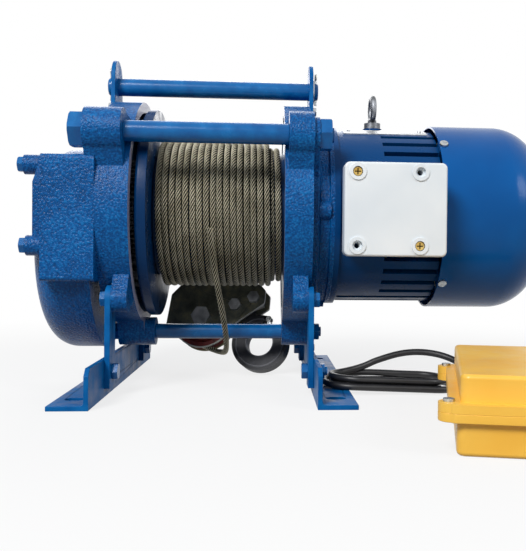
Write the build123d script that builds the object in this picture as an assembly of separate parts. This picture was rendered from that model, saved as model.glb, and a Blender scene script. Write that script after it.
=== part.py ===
"""Electric rope winch: cast brackets on angle feet, geared drum with wire rope,
flanged motor, hook block, and the control box that lies beside it on its lead.

Origin: on the floor, midway between the four foot bolts. +X runs along the drum
towards the motor, +Y away from the front, +Z up. Lengths are millimetres.
"""
import os
from math import acos, atan2, cos, degrees, hypot, pi, radians, sin, tan

from build123d import *

# Shared clearances
RUN = 0.05          # radial play of a shaft in its bearing
FIT = 0.02          # radial play of a seated ring or stud
GAP = 0.3           # air between two pieces that must not rub

# Frame
AXIS_Z = 169.0
FOOT_LENGTH = 324.0
FOOT_LEAF = 34.0
FOOT_HEIGHT = 34.0
FOOT_WALL = 4.0
FOOT_FACE = 92.5            # from the middle to the inner face of each foot
FOOT_BOLT_X = 110.0
FOOT_BOLT_Y = 130.0
FOOT_SLOT_LENGTH = 18.0
FOOT_SLOT_WIDTH = 12.0
BAR_WIDTH = 24.0
BAR_THICK = 5.0
BAR_Y = 92.0
BAR_BOTTOM = 8.0
BAR_BOLT_LOW = 22.0
BAR_BOLT_HIGH = 87.0
BAR_BOLT_R = 4.0
RING_R = 110.0
RING_WALL = 10.0
WEB = 6.0
LEFT_X0 = -101.0
LEFT_X1 = -72.0
RIGHT_X0 = 65.3
RIGHT_X1 = 90.9
LOBE_R = 20.5
LOBE_LEFT_X0 = -110.0
LOBE_LEFT_X1 = -77.0
LOBE_RIGHT_X0 = 68.5
TIE_RADIUS = 119.6          # from the drum axis to each tie bolt
TIE_ANGLE = 56.0            # of the upper two, from straight up
TIE_BOLT_R = 7.0
TIE_TUBE_R = 9.4
TIE_HEAD_AF = 29.0
TIE_HEAD_H = 13.0
TIE_NUT_AF = 26.5
TIE_NUT_H = 11.0
LOW_BOLT_R = 5.0
LOW_TUBE_R = 7.5
LOW_LUG_R = 14.0
LOW_LEFT_X1 = -62.0
EAR_R = 16.0
EAR_THICK = 5.0

# Suspension bar on its two plates
HANG_Z = 296.0
HANG_R = 8.7
HANG_X0 = -110.5
HANG_X1 = 100.5
PLATE_THICK = 4.0
PLATE_WIDTH = 40.0
PLATE_TOP = 322.0
PLATE_BOTTOM = 265.0
PLATE_BOLT_R = 2.5
PLATE_BOLT_Y = 11.0
PLATE_BOLT_Z = 273.5

# Drum and rope
ROPE_D = 6.0
ROPE_PITCH = 6.3
DRUM_R = 62.0
DRUM_WALL = 6.0
DRUM_X0 = -57.8
DRUM_X1 = 66.3
FLANGE_LEFT = 10.1
FLANGE_LEFT_R = 103.0
FLANGE_RIGHT = 7.7
FLANGE_RIGHT_R = 98.0
LOWER_TURNS = 19
UPPER_TURNS = 17
JOURNAL_R = 17.0
GEAR_SEAT_R = 20.0
DRUM_BEARING_R = 26.0
BEARING_W = 8.0
SHAFT_BORE = 9.0

# Gear train: two equal reductions on a shaft below the drum axis
MODULE = 1.75
PINION_TEETH = 12
WHEEL_TEETH = 60
FACE = 14.0
BACKLASH = 0.16
CENTRES = MODULE * (PINION_TEETH + WHEEL_TEETH) / 2
INPUT_X0 = -143.5
NOSE_X0 = -128.0
OUTPUT_X0 = -91.0
MOTOR_SHAFT_R = 6.0
LAY_SHAFT_R = 8.0
LAY_BEARING_R = 14.0
LAY_CASE_BEARING_W = 6.0
NOSE_BEARING_R = 16.0

# Gear case and the block behind it
CASE_Z = 133.0
CASE_WALL = 6.0
CASE_ROOM = 11.6            # air below the large wheel
CASE_R = CASE_Z - AXIS_Z + CENTRES + MODULE * (WHEEL_TEETH / 2 + 0.8) + CASE_WALL + CASE_ROOM
CASE_X0 = -161.0
CASE_X1 = -115.0
CASE_ROUND = 26.0
CASE_RIM_X0 = -156.0        # rim that joins the bolt bosses and seats on the block
CASE_BOLT_TURN = 45.9       # of the upper pair, from level
CASE_BOLT_OUT = 5.5         # of the upper pair, beyond the case's radius
CASE_UPPER = ((CASE_R + CASE_BOLT_OUT) * cos(radians(CASE_BOLT_TURN)),
              CASE_Z + (CASE_R + CASE_BOLT_OUT) * sin(radians(CASE_BOLT_TURN)), -170.5)
CASE_LOWER = (CASE_R + 2.0, CASE_Z + 0.7, -160.0)
CASE_BOLTS = (CASE_UPPER, CASE_LOWER)       # y, z and the station of the bolt head's seat
CASE_BOSS_R = 9.0
CASE_BOLT_R = 4.0
CASE_HEAD_AF = 13.0
CASE_HEAD_H = 5.5
CASE_BOLT_DEPTH = 14.0
BLOCK_X0 = -147.0
BLOCK_SIDE = 10.5           # of the block beyond the case's radius
BLOCK_OVER = 6.1            # of the block above its upper bolts
BLOCK_UNDER = 30.4          # of the block below the case's middle
BACK_DISC = 7.0

# Motor
SHIELD_R = 95.0
SHIELD_NECK_R = 88.0
SHIELD_X1 = 112.0
FRAME_R = 87.0
FRAME_WALL = 15.0
FRAME_BORE = FRAME_R - FRAME_WALL
FRAME_X1 = 213.0
SLOT_DEPTH = 8.0
SLOT_WIDTH = 6.0
SLOT_STEP = 10.0
SLOT_X0 = 160.0
SLOT_X0_LOW = 119.0
CORE_X0 = 132.0
CORE_X1 = 192.0
ROTOR_R = 42.0
AIR_GAP = 0.6
WINDING_OVERHANG = 13.0
MOTOR_BEARING_R = 22.0
MOTOR_JOURNAL_R = 9.0
REAR_SHIELD = 9.0
COWL_R = 93.0
COWL_WALL = 1.6
COWL_X0 = 213.5
COWL_DOME_X = 278.0
COWL_X1 = 329.0
COWL_FLAT_R = 33.0
COWL_SCREW_R = 2.0
FAN_X0 = 226.0
FAN_W = 20.0
FAN_R = 78.0
FAN_BLADES = 7

# Terminal box
TB_X0 = 116.0
TB_X1 = 206.5
TB_Z0 = 127.0
TB_Z1 = 209.0
TB_STAND = 26.0             # from the motor frame's radius to the lid's edge
TB_LID = 17.0
TB_SPLIT = -FRAME_R - TB_STAND
TB_FRONT = TB_SPLIT - TB_LID
TB_WALL = 3.0
TB_SCREW_X = (127.5, 182.5)
TB_SCREW_Z = (136.3, 200.5)
TB_BOSS_R = 7.5
EYE_X = (TB_X0 + TB_X1) / 2 - 4
EYE_STUD_R = 3.0
EYE_PAD = 3.0               # height of the eye's pad above the frame

# Hook block: a frame of its own, origin at the middle of the hook's ring
HOOK_AT = (44.0, 41.0, 31.5)
BLOCK_LEAN = -20.0
BLOCK_YAW = -14.0
SHEAVE_AT = (-66.0, 0.0, 26.0)
SHEAVE_R = 34.0
SHEAVE_PITCH_R = 27.0
SHEAVE_W = 18.0
SHEAVE_PIN_R = 7.0
SHEAVE_LEAD = 20.0          # along the block, from the sheave's middle to where the rope straightens
SHEAVE_ENTRY = 21.3         # slope of the rope as it comes to the sheave
CHEEK_THICK = 3.5
CHEEK_GAP = 20.0
YOKE_AT = (-19.0, 0.0, 44.0)
YOKE_L = 32.0
YOKE_BOLT_R = 3.5
YOKE_BOLT_REACH = 11.0
YOKE_H = 14.0
SHANK_R = 6.0
HOOK_R = 30.5
HOOK_BORE = 14.5
HOOK_THICK = 15.0
HOOK_TIP = 22.0
HOOK_NECK = 9.0             # half the neck's width where it leaves the ring
LATCH_AT = (7.0, 27.5)
LATCH_END = (10.9, 7.5)
LATCH_PIN_R = 1.5

# Control box, lying on its back in front of the motor
CB_AT = (251.0, -238.0)
CB_TURN = -13.0
CB_W = 125.0
CB_L = 178.0
CB_H = 52.0
CB_SPLIT = 28.0
CB_BAND = 12.0
CB_BAND_OUT = 5.0
CB_WALL = 3.0
CB_EAR = 9.0
CB_EAR_HOLE = 2.4
CONTACTOR_W = 44.0
CONTACTOR_L = 68.0
CONTACTOR_H = 37.0
CB_GLAND_X = -34.0
CB_GLAND_L = 22.0
CB_GLAND_Z = 12.5
CABLE_D = 6.4

# Folded lead behind the control box: its first end on the right foot's flat leaf
HANK_X0 = 102.0
HANK_X1 = 236.0
HANK_Y = -66.0
HANK_WIDTH = 62.0
HANK_THICK = 13.0
HANK_Z = 5.05
HANK_TILT = 2.09


def bar_x(radius, x0, x1, y=0.0, z=0.0):
    """Round bar along X between two stations."""
    return Pos((x0 + x1) / 2, y, z) * Rot(0, 90, 0) * Cylinder(radius, x1 - x0)


def ring_x(outer, inner, x0, x1, y=0.0, z=0.0):
    return bar_x(outer, x0, x1, y, z) - bar_x(inner, x0 - 1, x1 + 1, y, z)


def hex_x(across, x0, x1, y=0.0, z=0.0):
    """Hexagon along X with its corners taken off at both ends."""
    flat = RegularPolygon(radius=across / 2, side_count=6, major_radius=False)
    prism = extrude(Plane.YZ.offset(x0) * Pos(y, z) * flat, x1 - x0)
    return prism & turned([(x0, 0), (x0, across * 0.53), (x0 + 1.2, across * 0.585),
                           (x1 - 1.2, across * 0.585), (x1, across * 0.53), (x1, 0)], y, z)


def box_between(x0, x1, y0, y1, z0, z1):
    centre = Pos((x0 + x1) / 2, (y0 + y1) / 2, (z0 + z1) / 2)
    return centre * Box(x1 - x0, y1 - y0, z1 - z0)


def turned(outline, y=0.0, z=AXIS_Z):
    """Body of revolution about an X axis from points (station, radius)."""
    face = make_face(Polyline(*[(x, 0, r) for x, r in outline], close=True))
    return Pos(0, y, z) * revolve(face, Axis.X)


def gear(teeth, x0, width, z, first_tooth, bore):
    """Spur gear with short involute teeth; first_tooth is one tooth's angle from +Y."""
    pitch_r = MODULE * teeth / 2
    base_r = pitch_r * cos(radians(20))
    tip_r = pitch_r + 0.8 * MODULE
    root_r = pitch_r - 1.1 * MODULE
    flat = tan(radians(20)) - radians(20)
    half = pi / (2 * teeth) - BACKLASH / (2 * pitch_r)
    flank = []
    for radius in (max(base_r, root_r), pitch_r, tip_r):
        roll = acos(min(1.0, base_r / radius))
        flank.append((radius, half + flat - (tan(roll) - roll)))
    flank.insert(0, (root_r, flank[0][1] * 1.15))
    points = []
    for tooth in range(teeth):
        middle = radians(first_tooth) + 2 * pi * tooth / teeth
        side = [(r, middle - a) for r, a in flank] + [(r, middle + a) for r, a in reversed(flank)]
        points += [(r * cos(a), r * sin(a)) for r, a in side]
    blank = extrude(Plane.YZ.offset(x0) * Pos(0, z) * make_face(Polyline(*points, close=True)), width)
    return blank - bar_x(bore, x0 - 1, x0 + width + 1, 0, z)


def bearing(outer, bore, x0, width, z=AXIS_Z):
    """Sealed ball bearing: two rings with the shields set in between them."""
    middle = (outer + bore) / 2
    wide = (outer - bore) / 4
    body = ring_x(outer, bore, x0, x0 + width, 0, z)
    for x in (x0 - 1, x0 + width - 0.8):
        body -= ring_x(middle + wide, middle - wide, x, x + 1.8, 0, z)
    return body


def tie_places():
    """(y, z) of the front upper, rear upper and bottom tie bolts."""
    up_y = TIE_RADIUS * sin(radians(TIE_ANGLE))
    up_z = AXIS_Z + TIE_RADIUS * cos(radians(TIE_ANGLE))
    return (-up_y, up_z), (up_y, up_z), (0.0, AXIS_Z - TIE_RADIUS)


def arm(radius, x0, x1, y, z, root_r=RING_R - RING_WALL):
    """Boss at (y, z) blended to a ring about the drum axis by a tapering arm."""
    away = hypot(y, z - AXIS_Z)
    turn = degrees(atan2(z - AXIS_Z, y))
    root = away - root_r
    wedge = Polyline((0, -radius), (-root, -radius * 1.6), (-root, radius * 1.6), (0, radius), close=True)
    plane = Plane(origin=(x0, y, z), x_dir=(0, cos(radians(turn)), sin(radians(turn))), z_dir=(1, 0, 0))
    return bar_x(radius, x0, x1, y, z) + extrude(plane * make_face(wedge), x1 - x0)


def bracket(left):
    """Cast ring with a web on its outer side, tie-bolt lobes and bar lugs."""
    side = -1 if left else 1
    x0, x1 = (LEFT_X0, LEFT_X1) if left else (RIGHT_X0, RIGHT_X1)
    lobe0, lobe1 = (LOBE_LEFT_X0, LOBE_LEFT_X1) if left else (LOBE_RIGHT_X0, RIGHT_X1)
    low0, low1 = (LEFT_X0 + 3, LEFT_X1) if left else (RIGHT_X0, RIGHT_X1)
    body = bar_x(RING_R, x0, x1, 0, AXIS_Z)
    front, rear, low = tie_places()
    for y, z in (front, rear):
        body += arm(LOBE_R, lobe0, lobe1, y, z)
    body += arm(LOW_LUG_R, low0, low1, *low)
    if left:
        body += bar_x(LOW_LUG_R, LEFT_X1, LOW_LEFT_X1, *low)
    lug_outer = side * (FOOT_FACE - BAR_THICK)
    lug0, lug1 = sorted((lug_outer, lug_outer - side * 14))
    for y in (-BAR_Y, BAR_Y):
        body += arm(BAR_WIDTH / 2, lug0, lug1, y, BAR_BOLT_HIGH)
    mouth0, mouth1 = (x0 + WEB, x1 + 30) if left else (x0 - 30, x1 - WEB)
    body -= bar_x(RING_R - RING_WALL, mouth0, mouth1, 0, AXIS_Z)
    boss0, boss1 = (x0, x0 + BEARING_W) if left else (x1 - BEARING_W, x1)
    body += bar_x(DRUM_BEARING_R + 7, boss0, boss1, 0, AXIS_Z)
    body -= bar_x(DRUM_BEARING_R + FIT, x0 - 60, x1 + 60, 0, AXIS_Z)
    if left:
        body += bar_x(LAY_BEARING_R + 6, boss0, boss1, 0, AXIS_Z - CENTRES)
        body -= bar_x(LAY_BEARING_R + FIT, x0 - 60, x1 + 60, 0, AXIS_Z - CENTRES)
    for y, z in (front, rear):
        body -= bar_x(TIE_BOLT_R + FIT, x0 - 60, x1 + 60, y, z)
    body -= bar_x(LOW_BOLT_R + FIT, x0 - 60, x1 + 60, *low)
    for y in (-BAR_Y, BAR_Y):
        body -= bar_x(BAR_BOLT_R + FIT, x0 - 60, x1 + 60, y, BAR_BOLT_HIGH)
    for y in (-PLATE_BOLT_Y, PLATE_BOLT_Y):
        hole = (x0 - 1, x0 + 12) if left else (x1 - 12, x1 + 1)
        body -= bar_x(PLATE_BOLT_R + FIT, *hole, y, PLATE_BOLT_Z)
    return body


def foot(left):
    """Angle iron laid front to back, its upright leaf inward."""
    side = -1 if left else 1
    low, high = sorted((side * FOOT_FACE, side * (FOOT_FACE + FOOT_LEAF)))
    wall0, wall1 = sorted((side * FOOT_FACE, side * (FOOT_FACE + FOOT_WALL)))
    half = FOOT_LENGTH / 2
    body = box_between(low, high, -half, half, 0, FOOT_WALL)
    upright = box_between(wall0, wall1, -half, half, 0, FOOT_HEIGHT)
    upright = chamfer(upright.edges().filter_by(Axis.X).group_by(Axis.Z)[-1], 6)
    body += upright
    body = fillet(body.edges().filter_by(Axis.Y).filter_by(
        lambda e: abs(abs(e.center().X) - FOOT_FACE - FOOT_WALL) < 0.1 and abs(e.center().Z - FOOT_WALL) < 0.1), 3)
    flat_slot = SlotOverall(FOOT_SLOT_LENGTH, FOOT_SLOT_WIDTH)
    for y in (-FOOT_BOLT_Y, FOOT_BOLT_Y):
        body -= extrude(Pos(side * FOOT_BOLT_X, y, -1) * flat_slot, FOOT_WALL + 2)
    side_slot = Rot(0, 0, 90) * SlotOverall(20, 2 * (BAR_BOLT_R + FIT))
    for y in (-BAR_Y, BAR_Y):
        body -= extrude(Plane.YZ.offset(wall0 - 1) * Pos(y, BAR_BOLT_LOW) * side_slot, FOOT_WALL + 2)
    return body


def foot_bar(left, y):
    """Flat bar from the foot's upright leaf to the bracket's lug, with a round top."""
    side = -1 if left else 1
    x0, x1 = sorted((side * (FOOT_FACE - BAR_THICK), side * FOOT_FACE))
    half = BAR_WIDTH / 2
    body = box_between(x0, x1, y - half, y + half, BAR_BOTTOM, BAR_BOLT_HIGH)
    body += bar_x(half, x0, x1, y, BAR_BOLT_HIGH)
    for z in (BAR_BOLT_LOW, BAR_BOLT_HIGH):
        body -= bar_x(BAR_BOLT_R + FIT, x0 - 1, x1 + 1, y, z)
    return body


def foot_bolts():
    """Eight bolts: one through each end of every flat bar."""
    solids = []
    for side in (-1, 1):
        for y in (-BAR_Y, BAR_Y):
            high_in = side * (FOOT_FACE - BAR_THICK - 14)
            high_out = side * FOOT_FACE
            shank = bar_x(BAR_BOLT_R, *sorted((high_in, high_out + side * 0.5)), y, BAR_BOLT_HIGH)
            solids.append(shank + hex_x(13, *sorted((high_out, high_out + side * 5.5)), y, BAR_BOLT_HIGH))
            low_in = side * (FOOT_FACE - BAR_THICK)
            low_out = side * (FOOT_FACE + FOOT_WALL)
            shank = bar_x(BAR_BOLT_R, *sorted((low_in, low_out + side * 9)), y, BAR_BOLT_LOW)
            head = hex_x(13, *sorted((low_in, low_in - side * 5.5)), y, BAR_BOLT_LOW)
            nut = hex_x(13, *sorted((low_out, low_out + side * 6.5)), y, BAR_BOLT_LOW)
            solids.append(shank + head + nut)
    return solids


def hang_plate(left):
    """Upright plate with a round top that carries one end of the suspension bar."""
    x0, x1 = (LEFT_X0 - PLATE_THICK, LEFT_X0) if left else (RIGHT_X1, RIGHT_X1 + PLATE_THICK)
    half = PLATE_WIDTH / 2
    body = box_between(x0, x1, -half, half, PLATE_BOTTOM, PLATE_TOP - half)
    body += bar_x(half, x0, x1, 0, PLATE_TOP - half)
    body -= bar_x(HANG_R + FIT, x0 - 1, x1 + 1, 0, HANG_Z)
    for y in (-PLATE_BOLT_Y, PLATE_BOLT_Y):
        body -= bar_x(PLATE_BOLT_R + FIT, x0 - 1, x1 + 1, y, PLATE_BOLT_Z)
    return body


def hang_bolts():
    solids = []
    for y in (-PLATE_BOLT_Y, PLATE_BOLT_Y):
        out = LEFT_X0 - PLATE_THICK
        head = hex_x(8, out - 3.5, out, y, PLATE_BOLT_Z)
        solids.append(bar_x(PLATE_BOLT_R, out, LEFT_X0 + 11, y, PLATE_BOLT_Z) + head)
        out = RIGHT_X1 + PLATE_THICK
        head = hex_x(8, out, out + 3.5, y, PLATE_BOLT_Z)
        solids.append(bar_x(PLATE_BOLT_R, RIGHT_X1 - 11, out, y, PLATE_BOLT_Z) + head)
    return solids


def hang_pins():
    """Washer and split pin at each end of the suspension bar."""
    solids = []
    for face, side in ((LEFT_X0 - PLATE_THICK, -1), (RIGHT_X1 + PLATE_THICK, 1)):
        washer = ring_x(HANG_R + 4, HANG_R + FIT, *sorted((face, face + side * 1.5)), 0, HANG_Z)
        pin_x = face + side * 3.4
        pin = Pos(pin_x, 0, HANG_Z) * Cylinder(1.3, 2 * HANG_R + 10)
        eye = Pos(pin_x, 0, HANG_Z + HANG_R + 6.6) * Rot(0, 90, 0) * Torus(2.6, 1.1)
        solids += [washer, pin + eye]
    return solids


def suspension_bar():
    body = turned([(HANG_X0, 0), (HANG_X0, HANG_R - 1), (HANG_X0 + 1, HANG_R), (HANG_X1 - 1, HANG_R),
                   (HANG_X1, HANG_R - 1), (HANG_X1, 0)], 0, HANG_Z)
    for face, side in ((LEFT_X0 - PLATE_THICK, -1), (RIGHT_X1 + PLATE_THICK, 1)):
        body -= Pos(face + side * 3.4, 0, HANG_Z) * Cylinder(1.3 + FIT, 4 * HANG_R)
    return body


def tie_bolt(place, low):
    """Through bolt with its head on the left bracket."""
    y, z = place
    head_at = LEFT_X0 + 3 if low else LOBE_LEFT_X0
    radius = LOW_BOLT_R if low else TIE_BOLT_R
    across = 16.0 if low else TIE_HEAD_AF
    height = 7.0 if low else TIE_HEAD_H
    end = RIGHT_X1 + EAR_THICK + (TIE_NUT_H if not low else 8) + 2
    return bar_x(radius, head_at - 1, end, y, z) + hex_x(across, head_at - height, head_at, y, z)


def tie_nuts():
    front, rear, low = tie_places()
    seat = RIGHT_X1 + EAR_THICK
    nuts = [hex_x(TIE_NUT_AF, seat, seat + TIE_NUT_H, *p) - bar_x(TIE_BOLT_R + FIT, seat - 1, seat + 20, *p)
            for p in (front, rear)]
    nuts.append(hex_x(16, seat, seat + 8, *low) - bar_x(LOW_BOLT_R + FIT, seat - 1, seat + 20, *low))
    return nuts


def spacer(place, low):
    """Tube that holds the brackets apart round its tie bolt."""
    outer, inner = (LOW_TUBE_R, LOW_BOLT_R) if low else (TIE_TUBE_R, TIE_BOLT_R)
    x0, x1 = (LOW_LEFT_X1, RIGHT_X0) if low else (LOBE_LEFT_X1, LOBE_RIGHT_X0)
    return ring_x(outer, inner + FIT, x0, x1, *place)


def drum():
    """Hollow barrel with a deep left flange, hubs and the seat of its gear."""
    x0 = DRUM_X0 - FLANGE_LEFT
    x1 = DRUM_X1 + FLANGE_RIGHT
    seat_end = OUTPUT_X0 + FACE
    inner = DRUM_R - DRUM_WALL
    outline = [(LEFT_X0, SHAFT_BORE), (LEFT_X0, JOURNAL_R), (OUTPUT_X0, JOURNAL_R), (OUTPUT_X0, GEAR_SEAT_R),
               (seat_end, GEAR_SEAT_R), (seat_end, GEAR_SEAT_R + 14), (x0, GEAR_SEAT_R + 14),
               (x0, FLANGE_LEFT_R - 2), (x0 + 2, FLANGE_LEFT_R), (DRUM_X0, FLANGE_LEFT_R), (DRUM_X0, DRUM_R),
               (DRUM_X1, DRUM_R), (DRUM_X1, FLANGE_RIGHT_R), (x1, FLANGE_RIGHT_R), (x1, JOURNAL_R + 8),
               (x1 + 4, JOURNAL_R), (RIGHT_X1 - 1, JOURNAL_R), (RIGHT_X1 - 1, SHAFT_BORE), (DRUM_X1, SHAFT_BORE),
               (DRUM_X1, inner), (DRUM_X0, inner), (DRUM_X0, SHAFT_BORE)]
    return turned(outline)


def wound_rope():
    """Two layers of rope on the barrel, the upper one ending short of the right flange."""
    radius = ROPE_D / 2
    low_r = DRUM_R + FIT + radius
    up_r = low_r + 0.87 * ROPE_D
    start = DRUM_X0 + 0.2 + radius
    crest = []
    for turn in range(LOWER_TURNS):
        x = start + turn * ROPE_PITCH
        if turn < UPPER_TURNS:
            crest.append((x, up_r))
        elif turn == UPPER_TURNS:
            crest += [(x, up_r), (x + ROPE_PITCH * 0.55, low_r)]
        else:
            crest.append((x + ROPE_PITCH * 0.55, low_r))
    outline = [(DRUM_X0 + 0.1, DRUM_R + FIT)]
    for x, r in crest:
        for angle in (150, 90, 30):
            outline.append((x + radius * cos(radians(angle)), r + radius * sin(radians(angle))))
    outline.append((min(outline[-1][0] + 1, DRUM_X1 - 0.1), DRUM_R + FIT))
    return turned(outline)


def block_frame(x, y, z):
    """A point of the hook block, given in the block's own frame, as a vector of the whole."""
    return (BLOCK_AT * Pos(x, y, z)).position


BLOCK_AT = Pos(*HOOK_AT) * Rot(0, 0, BLOCK_YAW) * Rot(BLOCK_LEAN, 0, 0)


def bar_y(radius, y0, y1, x, z):
    return Pos(x, (y0 + y1) / 2, z) * Rot(90, 0, 0) * Cylinder(radius, y1 - y0)


def cheek(front):
    """Side plate of the hook block with clipped corners."""
    sx, _, sz = SHEAVE_AT
    end, head = sx - SHEAVE_R - 6, sz + SHEAVE_R + 4
    toe = YOKE_AT[0] + 22
    outline = Polyline((end, sz - 14), (end + 2, sz + 24), (end + 14, head), (toe - 7, head), (toe, head - 7),
                       (toe, YOKE_AT[2] - 2), (YOKE_AT[0] - 8, sz - 7), (sx + 22, sz - 21), (end + 10, sz - 21),
                       close=True)
    half = CHEEK_GAP / 2
    y = -half - CHEEK_THICK if front else half
    plate = extrude(Plane.XZ.offset(-y) * make_face(outline), -CHEEK_THICK)
    plate -= bar_y(SHEAVE_PIN_R + FIT, y - 1, y + CHEEK_THICK + 1, SHEAVE_AT[0], SHEAVE_AT[2])
    for x, z in yoke_bolts():
        plate -= bar_y(YOKE_BOLT_R + FIT, y - 1, y + CHEEK_THICK + 1, x, z)
    return BLOCK_AT * plate


def shank_way():
    """Unit vector along the hook's shank, in the block's frame."""
    length = hypot(YOKE_AT[0], YOKE_AT[2])
    return YOKE_AT[0] / length, YOKE_AT[2] / length


def yoke_bolts():
    ux, uz = shank_way()
    return [(YOKE_AT[0] + s * YOKE_BOLT_REACH * uz, YOKE_AT[2] - s * YOKE_BOLT_REACH * ux) for s in (-1, 1)]


def yoke():
    """Cross piece between the cheeks that the hook's shank turns in."""
    ux, uz = shank_way()
    turn = degrees(atan2(ux, uz))
    body = Pos(*YOKE_AT) * Rot(0, turn, 0) * (Box(YOKE_L, CHEEK_GAP, YOKE_H) - Cylinder(SHANK_R + RUN, YOKE_H + 2))
    for x, z in yoke_bolts():
        body -= bar_y(YOKE_BOLT_R + FIT, -CHEEK_GAP, CHEEK_GAP, x, z)
    return BLOCK_AT * body


def block_bolts():
    """Sheave pin and the two yoke bolts, each with head and nut outside the cheeks."""
    solids = []
    outer = CHEEK_GAP / 2 + CHEEK_THICK
    places = [(SHEAVE_AT[0], SHEAVE_AT[2], SHEAVE_PIN_R, 19.0)]
    places += [(x, z, YOKE_BOLT_R, 12.0) for x, z in yoke_bolts()]
    for x, z, radius, across in places:
        flat = RegularPolygon(radius=across / 2, side_count=6, major_radius=False)
        head = extrude(Plane.XZ.offset(outer) * Pos(x, z) * flat, 5)
        nut = extrude(Plane.XZ.offset(-outer) * Pos(x, z) * flat, -5)
        solids.append(BLOCK_AT * (bar_y(radius, -outer - 1, outer + 7, x, z) + head + nut))
    return solids


def sheave():
    """Rope wheel with a round groove and a bushed bore."""
    half = SHEAVE_W / 2
    groove_r = ROPE_D / 2 + GAP
    outline = [(-half, SHEAVE_PIN_R + RUN), (-half, 14), (-half + 3, 14), (-half + 3, SHEAVE_R - 8),
               (-half, SHEAVE_R - 6), (-half, SHEAVE_R), (-half + 2.4, SHEAVE_R)]
    for angle in range(200, 341, 20):
        outline.append((groove_r * cos(radians(angle)), SHEAVE_PITCH_R + groove_r * sin(radians(angle))))
    outline += [(half - 2.4, SHEAVE_R), (half, SHEAVE_R), (half, SHEAVE_R - 6), (half - 3, SHEAVE_R - 8),
                (half - 3, 14), (half, 14), (half, SHEAVE_PIN_R + RUN)]
    body = revolve(make_face(Polyline(*[(x, 0, r) for x, r in outline], close=True)), Axis.X)
    return BLOCK_AT * Pos(*SHEAVE_AT) * Rot(0, 0, 90) * body


def hook():
    """Forged hook: a thick ring open at its upper right, with neck, shank and collar."""
    ux, uz = shank_way()
    start = degrees(atan2(uz, ux))
    half = HOOK_THICK / 2
    ring = Circle(HOOK_R) - Circle(HOOK_BORE)
    far = 2 * HOOK_R
    mouth = [(0, 0), (far * cos(radians(HOOK_TIP)), far * sin(radians(HOOK_TIP))), (far, far), (far * 0.09, far)]
    ring -= make_face(Polyline(*mouth, close=True))
    tip_r = (HOOK_R - HOOK_BORE) / 2 - 0.5
    middle = (HOOK_R + HOOK_BORE) / 2
    ring += Pos(middle * cos(radians(HOOK_TIP)), middle * sin(radians(HOOK_TIP))) * Circle(tip_r)
    body = extrude(Plane.XZ.offset(-half) * ring, HOOK_THICK)
    neck = Polyline((-HOOK_NECK, HOOK_BORE + 2), (HOOK_NECK, HOOK_BORE + 2), (SHANK_R, HOOK_R + 3),
                    (-SHANK_R, HOOK_R + 3), close=True)
    body += Rot(0, 90 - start, 0) * extrude(Plane.XZ.offset(-half + 1) * make_face(neck), HOOK_THICK - 2)
    length = hypot(YOKE_AT[0], YOKE_AT[2]) + YOKE_H / 2
    foot_of_shank = HOOK_BORE + 6
    shank = Pos(0, 0, (foot_of_shank + length + 12) / 2) * Cylinder(SHANK_R, length + 12 - foot_of_shank)
    collar = Pos(0, 0, length + GAP + 4) * Cylinder(SHANK_R + 3.5, 8)
    body += Rot(0, 90 - start, 0) * (shank + collar)
    x, z = LATCH_AT
    lug = Polyline((-3, 20), (x + 1.5, z - 3.2), (x + 3.2, z), (x + 1.5, z + 3.2), (-4, z + 4.5), close=True)
    body += extrude(Plane.XZ.offset(-2.8) * make_face(lug), 5.6)
    body -= bar_y(LATCH_PIN_R + RUN, -10, 10, x, z)
    return BLOCK_AT * body


def latch():
    """Sprung safety latch: two cheeks on the hook's lug and a tongue to the tip."""
    x, z = LATCH_AT
    reach = hypot(LATCH_END[0] - x, LATCH_END[1] - z)
    turn = degrees(atan2(LATCH_END[0] - x, LATCH_END[1] - z))
    body = Pos(0, 0, reach / 2) * Box(4, 9, reach) + bar_y(3.2, -4.5, 4.5, 0, 0)
    body -= Box(30, 6.4, 24)
    body -= bar_y(LATCH_PIN_R + FIT, -10, 10, 0, 0)
    return BLOCK_AT * Pos(x, 0, z) * Rot(0, turn, 0) * body


def latch_pin():
    return BLOCK_AT * bar_y(LATCH_PIN_R, -5.2, 5.2, *LATCH_AT)


def drum_gear():
    return gear(WHEEL_TEETH, OUTPUT_X0, FACE, AXIS_Z, -90, GEAR_SEAT_R + FIT)


def lay_shaft():
    """Shaft below the drum axis with its pinion cut from the solid."""
    z = AXIS_Z - CENTRES
    body = bar_x(LAY_SHAFT_R, CASE_X0 + CASE_WALL + 1, LEFT_X0 + BEARING_W, 0, z)
    pinion = gear(PINION_TEETH, OUTPUT_X0, FACE, z, 90 + 180 / PINION_TEETH, 1.0)
    body += bar_x(LAY_SHAFT_R, LEFT_X0 + BEARING_W - 1, OUTPUT_X0 + 1, 0, z)
    return body + pinion + bar_x(LAY_SHAFT_R, OUTPUT_X0, OUTPUT_X0 + FACE, 0, z)


def lay_wheel():
    z = AXIS_Z - CENTRES
    first = 90 + 180 / WHEEL_TEETH
    return gear(WHEEL_TEETH, INPUT_X0, FACE, z, first, LAY_SHAFT_R + FIT)


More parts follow.
